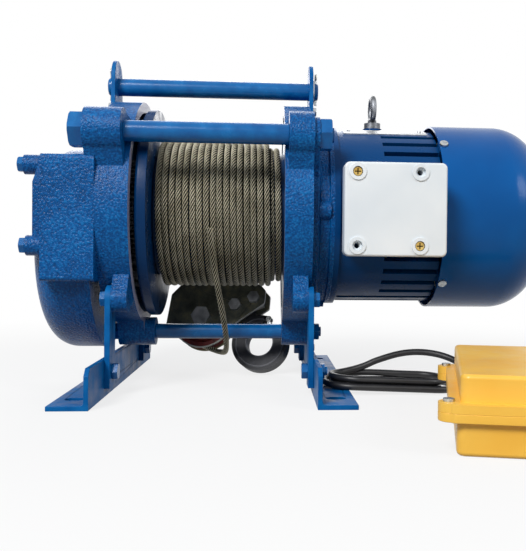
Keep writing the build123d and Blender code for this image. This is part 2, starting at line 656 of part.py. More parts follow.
def motor_shaft():
    """Stepped shaft from the input pinion, through the drum, to the fan."""
    step = SHIELD_X1 - 16
    rear = FRAME_X1 - REAR_SHIELD
    outline = [(INPUT_X0 + FACE, 0), (INPUT_X0 + FACE, MOTOR_SHAFT_R), (step, MOTOR_SHAFT_R), (step, MOTOR_JOURNAL_R),
               (CORE_X0 - 3, MOTOR_JOURNAL_R), (CORE_X0 - 3, MOTOR_JOURNAL_R + 2), (CORE_X1 + 3, MOTOR_JOURNAL_R + 2),
               (CORE_X1 + 3, MOTOR_JOURNAL_R - 1), (rear + BEARING_W, MOTOR_JOURNAL_R - 1),
               (rear + BEARING_W, MOTOR_SHAFT_R), (FAN_X0 + FAN_W - 4, MOTOR_SHAFT_R), (FAN_X0 + FAN_W - 4, 0)]
    pinion = gear(PINION_TEETH, INPUT_X0, FACE, AXIS_Z, -90, 1.0)
    pinion += bar_x(MOTOR_SHAFT_R, INPUT_X0, INPUT_X0 + FACE + 1, 0, AXIS_Z)
    return turned(outline) + pinion


def rotor_core():
    core = ring_x(ROTOR_R, MOTOR_JOURNAL_R + 2 + FIT, CORE_X0, CORE_X1, 0, AXIS_Z)
    for x0, x1 in ((CORE_X0 - 4, CORE_X0), (CORE_X1, CORE_X1 + 4)):
        core += ring_x(ROTOR_R - 2, ROTOR_R - 12, x0, x1, 0, AXIS_Z)
    return core


def fan():
    """Straight-bladed cooling fan, pressed on the shaft's rear end."""
    body = ring_x(16, MOTOR_SHAFT_R + FIT, FAN_X0, FAN_X0 + FAN_W, 0, AXIS_Z)
    body += ring_x(FAN_R - 6, 10, FAN_X0, FAN_X0 + 2.5, 0, AXIS_Z)
    blade = box_between(FAN_X0, FAN_X0 + FAN_W, -1.4, 1.4, 14, FAN_R)
    for step in range(FAN_BLADES):
        body += Pos(0, 0, AXIS_Z) * Rot(360 * step / FAN_BLADES, 0, 0) * blade
    return body


def gear_case():
    """Domed cup round the first reduction, with ears for its bolts."""
    def shell(shrink):
        flat = CASE_X0 + shrink
        edge = CASE_X0 + CASE_ROUND
        top = CASE_R - shrink
        round_r = CASE_ROUND - shrink
        arc = EllipticalCenterArc((edge, CASE_R - CASE_ROUND), round_r, round_r, 90, arc_size=90)
        lines = Polyline((flat, CASE_R - CASE_ROUND), (flat, 0), (CASE_X1, 0), (CASE_X1, top), (edge, top))
        face = make_face(Plane.XZ * (arc + lines))
        return Pos(0, 0, CASE_Z) * revolve(face, Axis.X)

    body = shell(0)
    high, low = CASE_UPPER[1], CASE_LOWER[1]
    side_y, top_y = CASE_R + 1, CASE_UPPER[0]
    rim = Polyline((-side_y, low - CASE_BOSS_R), (-side_y, high - 2 * CASE_BOSS_R), (-top_y, high + CASE_BOSS_R),
                   (top_y, high + CASE_BOSS_R), (side_y, high - 2 * CASE_BOSS_R), (side_y, low - CASE_BOSS_R),
                   close=True)
    body += extrude(Plane.YZ.offset(CASE_RIM_X0) * make_face(rim), BLOCK_X0 - CASE_RIM_X0)
    for y, z, seat in CASE_BOLTS:
        for side in (-1, 1):
            body += bar_x(CASE_BOSS_R, seat, BLOCK_X0, side * y, z)
    body -= shell(CASE_WALL)
    boss = bar_x(LAY_BEARING_R + 5, CASE_X0 + 2, CASE_X0 + CASE_WALL + LAY_CASE_BEARING_W + 1, 0, AXIS_Z - CENTRES)
    body += boss
    body -= bar_x(LAY_BEARING_R + FIT, CASE_X0 + CASE_WALL + 1, CASE_X1, 0, AXIS_Z - CENTRES)
    for y, z, seat in CASE_BOLTS:
        for side in (-1, 1):
            body -= bar_x(CASE_BOLT_R + FIT, seat - 1, BLOCK_X0 + CASE_BOLT_DEPTH + 2, side * y, z)
    return body


def gear_block():
    """Square-fronted casting between the round case and the left bracket."""
    half = CASE_R + BLOCK_SIDE
    body = box_between(BLOCK_X0, LEFT_X0, -half, half, CASE_Z - BLOCK_UNDER, CASE_UPPER[1] + BLOCK_OVER)
    body = fillet(body.edges().filter_by(Axis.X), 4)
    body -= bar_x(CASE_R + GAP, BLOCK_X0 - 1, CASE_X1, 0, CASE_Z)
    for y, z in tie_places()[:2]:
        body -= arm(LOBE_R + GAP, LOBE_LEFT_X0 - GAP, LEFT_X0 + 1, y, z)
    body += bar_x(CASE_R, CASE_X1, CASE_X1 + BACK_DISC, 0, CASE_Z)
    body += bar_x(NOSE_BEARING_R + 6, NOSE_X0, CASE_X1, 0, AXIS_Z)
    body -= bar_x(SHAFT_BORE, BLOCK_X0 - 1, LEFT_X0 + 1, 0, AXIS_Z)
    body -= bar_x(NOSE_BEARING_R + FIT, BLOCK_X0 - 1, NOSE_X0 + BEARING_W, 0, AXIS_Z)
    body -= bar_x(LAY_SHAFT_R + 2, CASE_X1 - 1, LEFT_X0 + 1, 0, AXIS_Z - CENTRES)
    for y, z, seat in CASE_BOLTS:
        for side in (-1, 1):
            body -= bar_x(CASE_BOLT_R + FIT, seat, BLOCK_X0 + CASE_BOLT_DEPTH + 2, side * y, z)
    return body


def case_bolts():
    solids = []
    for y, z, seat in CASE_BOLTS:
        for side in (-1, 1):
            shank = bar_x(CASE_BOLT_R, seat - 1, BLOCK_X0 + CASE_BOLT_DEPTH, side * y, z)
            solids.append(shank + hex_x(CASE_HEAD_AF, seat - CASE_HEAD_H, seat, side * y, z))
    return solids


def bearings():
    z = AXIS_Z - CENTRES
    rear = FRAME_X1 - REAR_SHIELD
    return [bearing(DRUM_BEARING_R, JOURNAL_R + RUN, LEFT_X0, BEARING_W),
            bearing(DRUM_BEARING_R, JOURNAL_R + RUN, RIGHT_X1 - BEARING_W, BEARING_W),
            bearing(LAY_BEARING_R, LAY_SHAFT_R + RUN, LEFT_X0, BEARING_W, z),
            bearing(LAY_BEARING_R, LAY_SHAFT_R + RUN, CASE_X0 + CASE_WALL + 1, LAY_CASE_BEARING_W, z),
            bearing(NOSE_BEARING_R, MOTOR_SHAFT_R + RUN, NOSE_X0, BEARING_W),
            bearing(MOTOR_BEARING_R, MOTOR_JOURNAL_R + RUN, SHIELD_X1 - 14, BEARING_W + 2),
            bearing(MOTOR_BEARING_R - 2, MOTOR_JOURNAL_R - 1 + RUN, rear, BEARING_W)]


def motor_shield():
    """Flanged end shield with ears on the tie bolts and four bolt bosses."""
    x0 = RIGHT_X1
    body = turned([(x0, 0), (x0, SHIELD_R), (x0 + 6, SHIELD_R), (x0 + 8, SHIELD_NECK_R), (SHIELD_X1 - 5, SHIELD_NECK_R),
                   (SHIELD_X1 - 4, FRAME_R + 3), (SHIELD_X1, FRAME_R + 3), (SHIELD_X1, 0)])
    for place in tie_places():
        radius = EAR_R if place[0] else LOW_LUG_R
        body += arm(radius, x0, x0 + EAR_THICK, *place, SHIELD_R - 5)
    body -= bar_x(FRAME_BORE, SHIELD_X1 - 10, SHIELD_X1 + 1, 0, AXIS_Z)
    body += bar_x(MOTOR_BEARING_R + 8, SHIELD_X1 - 14, SHIELD_X1 - 3, 0, AXIS_Z)
    body -= bar_x(MOTOR_BEARING_R + FIT, SHIELD_X1 - 14, SHIELD_X1 + 1, 0, AXIS_Z)
    body -= bar_x(SHAFT_BORE, x0 - 1, SHIELD_X1, 0, AXIS_Z)
    for place in tie_places():
        hole = TIE_BOLT_R if place[0] else LOW_BOLT_R
        body -= bar_x(hole + FIT, x0 - 1, x0 + EAR_THICK + 4, *place)
    for turn in range(4):
        lump = bar_x(9, x0 + 6, SHIELD_X1 - 4, 0, FRAME_R - 2)
        body += Pos(0, 0, AXIS_Z) * Rot(90 * turn, 0, 0) * (lump - bar_x(FRAME_BORE + 4, x0, SHIELD_X1))
    return body


def slot_angles():
    """Angles round the frame, from the front going up, where cooling slots run."""
    angles = []
    turn = -180.0
    while turn < 180.0:
        near_box = abs(turn) < 30
        near_top = 60 < turn < 110
        if not near_box and not near_top:
            angles.append(turn)
        turn += SLOT_STEP
    return angles


def motor_frame():
    """Cast frame with open-ended cooling slots and a pad for the lifting eye."""
    body = ring_x(FRAME_R, FRAME_BORE, SHIELD_X1, FRAME_X1, 0, AXIS_Z)
    body += ring_x(FRAME_R + 3, FRAME_BORE, SHIELD_X1, SHIELD_X1 + 5, 0, AXIS_Z)
    body += Pos(EYE_X, 0, AXIS_Z + FRAME_R + EYE_PAD - 5) * Cylinder(10, 10)
    body -= bar_x(FRAME_BORE, SHIELD_X1 - 1, FRAME_X1 + 1, 0, AXIS_Z)
    cutters = []
    for angle in slot_angles():
        start = SLOT_X0_LOW if angle < -60 else SLOT_X0
        slot = box_between(start, FRAME_X1 + 1, -FRAME_R - 1, -FRAME_R + SLOT_DEPTH, -SLOT_WIDTH / 2, SLOT_WIDTH / 2)
        cutters.append(Pos(0, 0, AXIS_Z) * Rot(-angle, 0, 0) * slot)
    body -= cutters
    body -= Pos(EYE_X, 0, AXIS_Z + FRAME_R) * Cylinder(EYE_STUD_R + FIT, 20)
    return body


def rear_shield():
    """End plate with the rear bearing and four lugs that hold the fan cover."""
    inside = COWL_R - COWL_WALL - FIT
    body = bar_x(FRAME_BORE - FIT, FRAME_X1 - REAR_SHIELD, FRAME_X1 + 2, 0, AXIS_Z)
    for step in range(4):
        lug = box_between(FRAME_X1, FRAME_X1 + 8, -7, 7, FRAME_BORE - 20, COWL_R)
        lug = lug & bar_x(inside, FRAME_X1, FRAME_X1 + 8)
        lug -= Pos(COWL_X0 + 4, 0, inside - 4) * Cylinder(COWL_SCREW_R + FIT, 10)
        body += Pos(0, 0, AXIS_Z) * Rot(45 + 90 * step, 0, 0) * lug
    body -= bar_x(MOTOR_BEARING_R - 2 + FIT, FRAME_X1 - REAR_SHIELD - 1, FRAME_X1 - 1, 0, AXIS_Z)
    body -= bar_x(MOTOR_JOURNAL_R + 2, FRAME_X1 - 20, FRAME_X1 + 20, 0, AXIS_Z)
    return body


def fan_cowl():
    """Pressed cover with a rounded end and a ring of air holes in its flat."""
    def skin(shrink):
        radius = COWL_R - shrink
        end = COWL_X1 - shrink
        arc = EllipticalCenterArc((COWL_DOME_X, COWL_FLAT_R), end - COWL_DOME_X, radius - COWL_FLAT_R, 0,
                                  arc_size=90)
        lines = Polyline((COWL_DOME_X, radius), (COWL_X0, radius), (COWL_X0, 0), (end, 0), (end, COWL_FLAT_R))
        face = make_face(Plane.XZ * (arc + lines))
        return Pos(0, 0, AXIS_Z) * revolve(face, Axis.X)

    body = skin(0) - skin(COWL_WALL)
    for radius, count in ((0, 1), (11, 6), (22, 12)):
        for step in range(count):
            angle = 2 * pi * step / count
            body -= bar_x(3.4, COWL_X1 - 12, COWL_X1 + 1, radius * cos(angle), AXIS_Z + radius * sin(angle))
    for step in range(4):
        hole = Pos(COWL_X0 + 4, 0, COWL_R) * Cylinder(COWL_SCREW_R + FIT, 10)
        body -= Pos(0, 0, AXIS_Z) * Rot(45 + 90 * step, 0, 0) * hole
    return body


def cowl_screws():
    solids = []
    for step in range(4):
        screw = Pos(COWL_X0 + 4, 0, COWL_R + 1.2) * Cylinder(4, 2.4)
        screw += Pos(COWL_X0 + 4, 0, COWL_R - 3) * Cylinder(COWL_SCREW_R, 7)
        solids.append(Pos(0, 0, AXIS_Z) * Rot(45 + 90 * step, 0, 0) * screw)
    return solids


def stator_core():
    return ring_x(FRAME_BORE - FIT, ROTOR_R + AIR_GAP, CORE_X0, CORE_X1, 0, AXIS_Z)


def windings():
    return [ring_x(FRAME_BORE - 6, ROTOR_R + 5, x0, x0 + WINDING_OVERHANG - 3, 0, AXIS_Z)
            for x0 in (CORE_X0 - WINDING_OVERHANG + 3, CORE_X1)]


def terminal_base():
    """Saddle between the motor frame and the lid, open towards the lid."""
    frame = bar_x(FRAME_R + FIT, TB_X0 - 10, TB_X1 + 10, 0, AXIS_Z)
    frame += bar_x(FRAME_R + 3 + FIT, TB_X0 - 10, SHIELD_X1 + 5 + FIT, 0, AXIS_Z)
    body = box_between(TB_X0 + 5, TB_X1 - 5, TB_SPLIT, -FRAME_R + 25, TB_Z0 + 5, TB_Z1 - 5)
    body = fillet(body.edges().filter_by(Axis.Y), 4)
    body -= box_between(TB_X0 + 10, TB_X1 - 10, TB_SPLIT - 1, -FRAME_R - 4, TB_Z0 + 10, TB_Z1 - 10)
    for x in TB_SCREW_X:
        for z in TB_SCREW_Z:
            body += bar_y(5, TB_SPLIT, TB_SPLIT + 10, x, z)
            body -= bar_y(2, TB_SPLIT - 1, TB_SPLIT + 9, x, z)
    gland = bar_x(9, TB_X1 - 6, TB_X1 + 6, TB_SPLIT + 12, AXIS_Z + 12)
    return body + gland - bar_x(5, TB_X1 - 12, TB_X1 + 3, TB_SPLIT + 12, AXIS_Z + 12) - frame


def terminal_lid():
    """Moulded lid with a round boss at each screw and a straight skirt."""
    body = box_between(TB_X0, TB_X1, TB_FRONT, TB_SPLIT, TB_Z0, TB_Z1)
    body = fillet(body.edges().filter_by(Axis.Y), 5)
    body = fillet(body.faces().sort_by(Axis.Y)[0].edges(), 2)
    w = TB_WALL
    body -= box_between(TB_X0 + w, TB_X1 - w, TB_FRONT + w, TB_SPLIT + 1, TB_Z0 + w, TB_Z1 - w)
    for x in TB_SCREW_X:
        for z in TB_SCREW_Z:
            body += bar_y(TB_BOSS_R, TB_FRONT - 1.2, TB_SPLIT, x, z)
            body -= bar_y(4.4, TB_FRONT - 2, TB_FRONT + 3, x, z)
            body -= bar_y(2.4, TB_FRONT - 2, TB_SPLIT + 1, x, z)
    return body


def lid_screws():
    solids = []
    for x, z in ((TB_SCREW_X[0], TB_SCREW_Z[1]), (TB_SCREW_X[1], TB_SCREW_Z[0])):
        head = bar_y(3.8, TB_FRONT + 0.4, TB_FRONT + 3, x, z)
        slot = Pos(x, TB_FRONT + 0.4, z) * (Box(5.6, 1.6, 1) + Box(1, 1.6, 5.6))
        solids.append(head + bar_y(1.9, TB_FRONT + 2, TB_SPLIT + 8, x, z) - slot)
    return solids


def terminal_board():
    """Moulded board with its six studs, inside the terminal box."""
    x = (TB_X0 + TB_X1) / 2
    y = -FRAME_R - 4
    body = box_between(x - 24, x + 24, y - 8, y, AXIS_Z - 16, AXIS_Z + 16)
    for dx in (-16, 0, 16):
        for dz in (-8, 8):
            body += bar_y(2.5, y - 14, y - 7, x + dx, AXIS_Z + dz)
    return body


def lifting_eye():
    x = EYE_X
    seat = AXIS_Z + FRAME_R + EYE_PAD
    ring = Pos(x, 0, seat + 20.5) * Rot(0, 90, 0) * Torus(11.5, 3)
    collar = Pos(x, 0, seat + 3) * Cylinder(8.5, 6) + Pos(x, 0, seat + 6.5) * Cylinder(4.5, 6)
    return ring + collar + Pos(x, 0, seat - 5) * Cylinder(EYE_STUD_R, 10)


def rating_plate():
    """Bare curved plate on the motor's upper front, with two rivets."""
    sheet = ring_x(FRAME_R + 1.2, FRAME_R + FIT, TB_X0 + 8, FRAME_X1 - 6, 0, AXIS_Z)
    wedge = make_face(Polyline((0, 0), (-20, 110), (-48, 100), close=True))
    sheet = sheet & extrude(Plane.YZ.offset(TB_X0) * Pos(0, AXIS_Z) * wedge, 120)
    rivets = []
    for x in (TB_X0 + 14, FRAME_X1 - 12):
        rivet = Pos(x, 0, FRAME_R + 1.6) * Cylinder(2.2, 1.6)
        rivets.append(Pos(0, 0, AXIS_Z) * Rot(18, 0, 0) * rivet)
    return sheet + rivets


CB_FRAME = Pos(*CB_AT, 0) * Rot(0, 0, CB_TURN)


def control_half(low):
    """One moulded half of the control box, with its share of the joint band."""
    z0, z1 = (0, CB_SPLIT) if low else (CB_SPLIT, CB_H)
    half_band = CB_BAND / 2
    b0, b1 = (CB_SPLIT - half_band, CB_SPLIT) if low else (CB_SPLIT, CB_SPLIT + half_band)
    inset = 0 if low else 2
    body = box_between(-CB_W / 2 + inset, CB_W / 2 - inset, -CB_L / 2 + inset, CB_L / 2 - inset, z0, z1)
    body = fillet(body.edges().filter_by(Axis.Z), 6)
    outer = body.faces().sort_by(Axis.Z)[0 if low else -1]
    body = fillet(outer.edges(), 3)
    out = CB_BAND_OUT
    band = box_between(-CB_W / 2 - out, CB_W / 2 + out, -CB_L / 2 - out, CB_L / 2 + out, b0, b1)
    body += fillet(band.edges().filter_by(Axis.Z), 5)
    for sx in (-1, 1):
        for sy in (-1, 1):
            x, y = sx * (CB_W / 2 + 3), sy * (CB_L / 2 - 6)
            body += Pos(x, y, (b0 + b1) / 2) * Cylinder(CB_EAR, half_band)
    w = CB_WALL
    if low:
        body -= box_between(-CB_W / 2 + w, CB_W / 2 - w, -CB_L / 2 + w, CB_L / 2 - w, w, CB_SPLIT + 1)
    else:
        half_w, half_l = CB_W / 2 - inset - w, CB_L / 2 - inset - w
        body -= box_between(-half_w, half_w, -half_l, half_l, CB_SPLIT - 1, CB_H - w)
    for sx in (-1, 1):
        for sy in (-1, 1):
            x, y = sx * (CB_W / 2 + 5), sy * (CB_L / 2 - 6)
            body -= Pos(x, y, CB_SPLIT) * Cylinder(CB_EAR_HOLE, CB_BAND + 2)
    if low:
        body -= bar_y(5.5, CB_L / 2 - 10, CB_L / 2 + 10, CB_GLAND_X, CB_GLAND_Z)
    return CB_FRAME * body


def control_screws():
    """Four screws through the ears of the control box."""
    solids = []
    for sx in (-1, 1):
        for sy in (-1, 1):
            x, y = sx * (CB_W / 2 + 5), sy * (CB_L / 2 - 6)
            top = CB_SPLIT + CB_BAND / 2
            screw = Pos(x, y, top + 1) * Cylinder(3.8, 2) + Pos(x, y, top - 5.5) * Cylinder(CB_EAR_HOLE - FIT, 11)
            solids.append(CB_FRAME * screw)
    return solids


def contactor():
    """Contactor on the floor of the control box."""
    half_w, half_l = CONTACTOR_W / 2, CONTACTOR_L / 2
    top = CB_WALL + CONTACTOR_H
    step = top - 0.32 * CONTACTOR_H
    body = box_between(-half_w, half_w, -half_l, half_l, CB_WALL, top)
    for y in (-half_l, half_l):
        body -= box_between(-half_w - 1, half_w + 1, y - 0.3 * CONTACTOR_L, y + 0.3 * CONTACTOR_L, step, top + 1)
    return CB_FRAME * body


def gland_mouth(out=0.0):
    """Point on the gland's axis, out from the back wall of the control box."""
    return (CB_FRAME * Pos(CB_GLAND_X, CB_L / 2 + out, CB_GLAND_Z)).position


def cable_gland():
    x, z = CB_GLAND_X, CB_GLAND_Z
    y0 = CB_L / 2
    body = bar_y(5.4, y0 - 8, y0, x, z) + bar_y(9, y0, y0 + 4, x, z) + bar_y(7.5, y0 + 4, y0 + CB_GLAND_L, x, z)
    return CB_FRAME * (body - bar_y(CABLE_D / 2 + RUN, y0 - 9, y0 + CB_GLAND_L + 1, x, z))


def swept_tube(points, diameter, radii):
    """Round tube along straight runs joined by tangent arcs."""
    path = FilletPolyline(*points, radius=radii)
    start = Plane(origin=path @ 0, z_dir=path % 0)
    tube = sweep(start * Circle(diameter / 2), path=path)
    solid = tube.solids()[0]
    section = pi * diameter ** 2 / 4
    print(f"tube {path.length:.1f} mm long, volume {solid.volume:.0f}, section x length {section * path.length:.0f}")
    return solid


def corner_radii(points, fixed=None):
    """Radius at each corner: 0.45 of the shorter run over the tangent of half the turn."""
    radii = []
    places = [Vector(*p) for p in points]
    for i in range(1, len(places) - 1):
        before = places[i] - places[i - 1]
        after = places[i + 1] - places[i]
        turn = radians(before.get_angle(after))
        radii.append(0.45 * min(before.length, after.length) / tan(turn / 2))
    for corner, radius in (fixed or {}).items():
        radii[corner] = radius
    print("radii", [round(r, 1) for r in radii])
    return radii


def rope_seat(x):
    """Point on the axis of the rear tie tube where the rope's end is anchored."""
    return Vector(x, *tie_places()[1])


def rope_points():
    """Route of the rope from the drum, round the sheave, up to the rear tie tube."""
    sx, _, sz = SHEAVE_AT
    pitch = SHEAVE_PITCH_R + GAP
    under = (13.0, -12.0, 30.0)
    leave_r = DRUM_R + ROPE_D * 1.87 + ROPE_D / 2 + GAP
    dy, dz = under[1], under[2] - AXIS_Z
    away = hypot(dy, dz)
    lead_angle = atan2(dz, dy) - acos(leave_r / away)
    start = (-3.0, leave_r * cos(lead_angle), AXIS_Z + leave_r * sin(lead_angle))
    slope = radians(SHEAVE_ENTRY)
    entry = (sx + SHEAVE_LEAD, sz - (pitch + SHEAVE_LEAD * sin(slope)) / cos(slope))
    left = (sx - pitch, entry[1] + (SHEAVE_LEAD + pitch) * tan(slope))
    knee = block_frame(left[0], 0, left[1] + 75)
    seat = rope_seat(knee.X)
    top = seat - (seat - knee).normalized() * 24
    return [start, under, tuple(block_frame(entry[0], 0, entry[1])), tuple(block_frame(left[0], 0, left[1])),
            tuple(knee), tuple(top)]


def rope_lead():
    points = rope_points()
    return swept_tube(points, ROPE_D, corner_radii(points, {0: 40.0, 1: 18.0, 2: SHEAVE_PITCH_R + GAP}))


def rope_socket():
    """Swaged eye that anchors the rope's end on the rear tie tube."""
    start = Vector(*rope_points()[-1])
    seat = rope_seat(start.X)
    way = (seat - start).normalized()
    plane = Plane(origin=start, z_dir=way)
    length = (seat - start).length
    body = plane * Pos(0, 0, length / 2) * Cylinder(6, length)
    body += bar_x(TIE_TUBE_R + 5, seat.X - 5, seat.X + 5, seat.Y, seat.Z)
    return body - bar_x(TIE_TUBE_R + FIT, seat.X - 10, seat.X + 10, seat.Y, seat.Z)


def cable_hank():
    """Outer shape of the folded lead: a flat oval that rests on the right foot and the floor."""
    length = HANK_X1 - HANK_X0
    body = extrude(SlotOverall(length, HANK_WIDTH), HANK_THICK)
    return Pos(HANK_X0, HANK_Y, HANK_Z) * Rot(0, HANK_TILT, 0) * Pos(length / 2, 0, 0) * body


def cable_points():
    mouth = gland_mouth(CB_GLAND_L)
    out = gland_mouth(CB_GLAND_L + 26)
    return [tuple(mouth), (out.X, out.Y, out.Z + 1.5), (243.0, -66.0, 22.0), (222.0, -46.0, 32.0),
            (190.0, -40.0, 34.0), (158.0, -41.0, 25.0), (132.0, -42.0, 14.0)]


def power_cable():
    points = cable_points()
    return swept_tube(points, CABLE_D, corner_radii(points))


def main():
    os.makedirs("parts", exist_ok=True)
    nodes = {}
    front, rear, low = tie_places()
    nodes["left_bracket"] = bracket(True)
    nodes["right_bracket"] = bracket(False)
    for name, left in (("left", True), ("right", False)):
        nodes[f"{name}_foot"] = foot(left)
        nodes[f"{name}_foot_bars"] = [foot_bar(left, -BAR_Y), foot_bar(left, BAR_Y)]
        nodes[f"{name}_suspension_plate"] = hang_plate(left)
    nodes["foot_bolts"] = foot_bolts()
    nodes["suspension_bar"] = suspension_bar()
    nodes["suspension_bolts"] = hang_bolts()
    nodes["suspension_pins"] = hang_pins()
    nodes["front_tie_tube"] = spacer(front, False)
    nodes["rear_tie_tube"] = spacer(rear, False)
    nodes["bottom_tie_tube"] = spacer(low, True)
    nodes["tie_bolts"] = [tie_bolt(front, False), tie_bolt(rear, False), tie_bolt(low, True)]
    nodes["tie_nuts"] = tie_nuts()
    nodes["drum"] = drum()
    nodes["wound_rope"] = wound_rope()
    nodes["front_block_cheek"] = cheek(True)
    nodes["rear_block_cheek"] = cheek(False)
    nodes["block_yoke"] = yoke()
    nodes["block_bolts"] = block_bolts()
    nodes["sheave"] = sheave()
    nodes["hook"] = hook()
    nodes["hook_latch"] = latch()
    nodes["latch_pin"] = latch_pin()
    nodes["gear_case"] = gear_case()
    nodes["gear_block"] = gear_block()
    nodes["case_bolts"] = case_bolts()
    nodes["drum_gear"] = drum_gear()
    nodes["lay_shaft"] = lay_shaft()
    nodes["lay_wheel"] = lay_wheel()
    nodes["bearings"] = bearings()
    nodes["motor_shaft"] = motor_shaft()
    nodes["rotor_core"] = rotor_core()
    nodes["fan"] = fan()
    nodes["motor_shield"] = motor_shield()
    nodes["motor_frame"] = motor_frame()
    nodes["rear_shield"] = rear_shield()
    nodes["stator_core"] = stator_core()
    nodes["windings"] = windings()
    nodes["fan_cowl"] = fan_cowl()
    nodes["cowl_screws"] = cowl_screws()
    nodes["terminal_base"] = terminal_base()
    nodes["terminal_board"] = terminal_board()
    nodes["terminal_lid"] = terminal_lid()
    nodes["lid_screws"] = lid_screws()
    nodes["lifting_eye"] = lifting_eye()
    nodes["rating_plate"] = rating_plate()
    nodes["control_base"] = control_half(True)
    nodes["control_cover"] = control_half(False)
    nodes["control_screws"] = control_screws()
    nodes["contactor"] = contactor()
    nodes["cable_gland"] = cable_gland()
    nodes["power_cable"] = power_cable()
    nodes["cable_hank"] = cable_hank()
    nodes["rope_lead"] = rope_lead()
    nodes["rope_socket"] = rope_socket()
    for name, shape in nodes.items():
        solids = shape if isinstance(shape, list) else list(shape.solids())
        export_step(Compound(children=[s for s in Compound(solids).solids()]), f"parts/{name}.step")


if __name__ == "__main__":
    main()
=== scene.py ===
from math import cos, pi, radians, sin, tan

import bpy
from mathutils import Matrix, Vector


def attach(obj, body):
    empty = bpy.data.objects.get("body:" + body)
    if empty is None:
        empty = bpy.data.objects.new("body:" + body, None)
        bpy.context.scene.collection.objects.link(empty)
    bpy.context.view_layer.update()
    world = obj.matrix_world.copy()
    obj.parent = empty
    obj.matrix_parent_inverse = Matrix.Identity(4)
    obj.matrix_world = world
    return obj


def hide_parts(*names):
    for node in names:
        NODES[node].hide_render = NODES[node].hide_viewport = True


bl_info = {
    "name": "Electric winch",
    "version": (1, 0, 0),
    "blender": (4, 5, 0),
    "location": "3D View > Sidebar > Winch",
    "description": "Dresses the packed winch with its rope, cable, paint and metal",
    "category": "Object",
}

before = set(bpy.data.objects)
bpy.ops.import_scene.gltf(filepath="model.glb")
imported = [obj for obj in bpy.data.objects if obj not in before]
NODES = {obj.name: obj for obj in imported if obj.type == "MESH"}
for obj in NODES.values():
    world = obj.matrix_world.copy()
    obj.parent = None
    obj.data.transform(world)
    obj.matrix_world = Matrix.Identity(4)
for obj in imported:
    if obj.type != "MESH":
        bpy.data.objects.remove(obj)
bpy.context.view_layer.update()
MM = 0.001

# Places of the CAD model that patterns are set out from, in metres.
DRUM_AXIS = (0.0, 0.0, 0.169)
LEFT_SEAT_X = -0.072
RIGHT_SEAT_X = 0.0653
HOOK_CENTRE = (0.044, 0.041, 0.0315)
SHEAVE_CENTRE = (-0.0179, 0.0656, 0.0559)
BLOCK_ACROSS = (0.2273, 0.9118, -0.3420)
SCREW_HEAD_Y = -0.1296

# Sockets of Blender's Mix node, which have the same names for numbers and for colours.
NUMBER_A, NUMBER_B = 2, 3
COLOUR_A, COLOUR_B, COLOUR_OUT = 6, 7, 2


# Nodes

def linear(code):
    """An sRGB hex value as a linear colour with alpha."""
    values = [int(code[i:i + 2], 16) / 255 for i in (1, 3, 5)]
    return [v / 12.92 if v <= 0.04045 else ((v + 0.055) / 1.055) ** 2.4 for v in values] + [1.0]


def add(tree, kind, values=None, links=None, stops=(), **settings):
    """Adds one node: settings, socket values, links from sockets or nodes, and a ramp's stops."""
    node = tree.nodes.new(kind)
    for name, value in settings.items():
        setattr(node, name, value)
    for socket, value in (values or {}).items():
        node.inputs[socket].default_value = value
    for socket, source in (links or {}).items():
        if isinstance(source, bpy.types.Node):
            source = source.outputs[0]
        tree.links.new(source, node.inputs[socket])
    if stops:
        elements = node.color_ramp.elements
        while len(elements) < len(stops):
            elements.new(0.5)
        for element, (position, tone) in zip(elements, stops):
            element.position = position
            element.color = linear(tone) if isinstance(tone, str) else (tone, tone, tone, 1.0)
    return node


def lump_scale(size_mm):
    """Scale of a noise whose lumps are size_mm across."""
    return 1.0 / (size_mm * MM)


def line_scale(pitch_mm):
    """Scale of a wave whose lines are pitch_mm apart: it turns 20 radians in one unit."""
    return 2 * pi / 20 / (pitch_mm * MM)


def start_finish(name):
    """An empty material, its node tree and the coordinates of the piece that wears it."""
    finish = bpy.data.materials.new(name)
    finish.use_nodes = True
    finish.node_tree.nodes.clear()
    return finish, finish.node_tree, add(finish.node_tree, "ShaderNodeTexCoord")


def end_finish(tree, values, links):
    """The material's shader: what is the same all over as values, and the patterns as links."""
    shader = add(tree, "ShaderNodeBsdfPrincipled", values, links)
    add(tree, "ShaderNodeOutputMaterial", links={"Surface": shader})


def off_axis(tree, place, centre, axis):
    """Offset from centre, and the distance from the line through it along axis."""
    offset = add(tree, "ShaderNodeVectorMath", {1: centre}, {0: place}, operation="SUBTRACT")
    swept = add(tree, "ShaderNodeVectorMath", {1: axis}, {0: offset}, operation="CROSS_PRODUCT")
    away = add(tree, "ShaderNodeVectorMath", {}, {0: swept}, operation="LENGTH")
    return offset, away.outputs["Value"]


# Paint

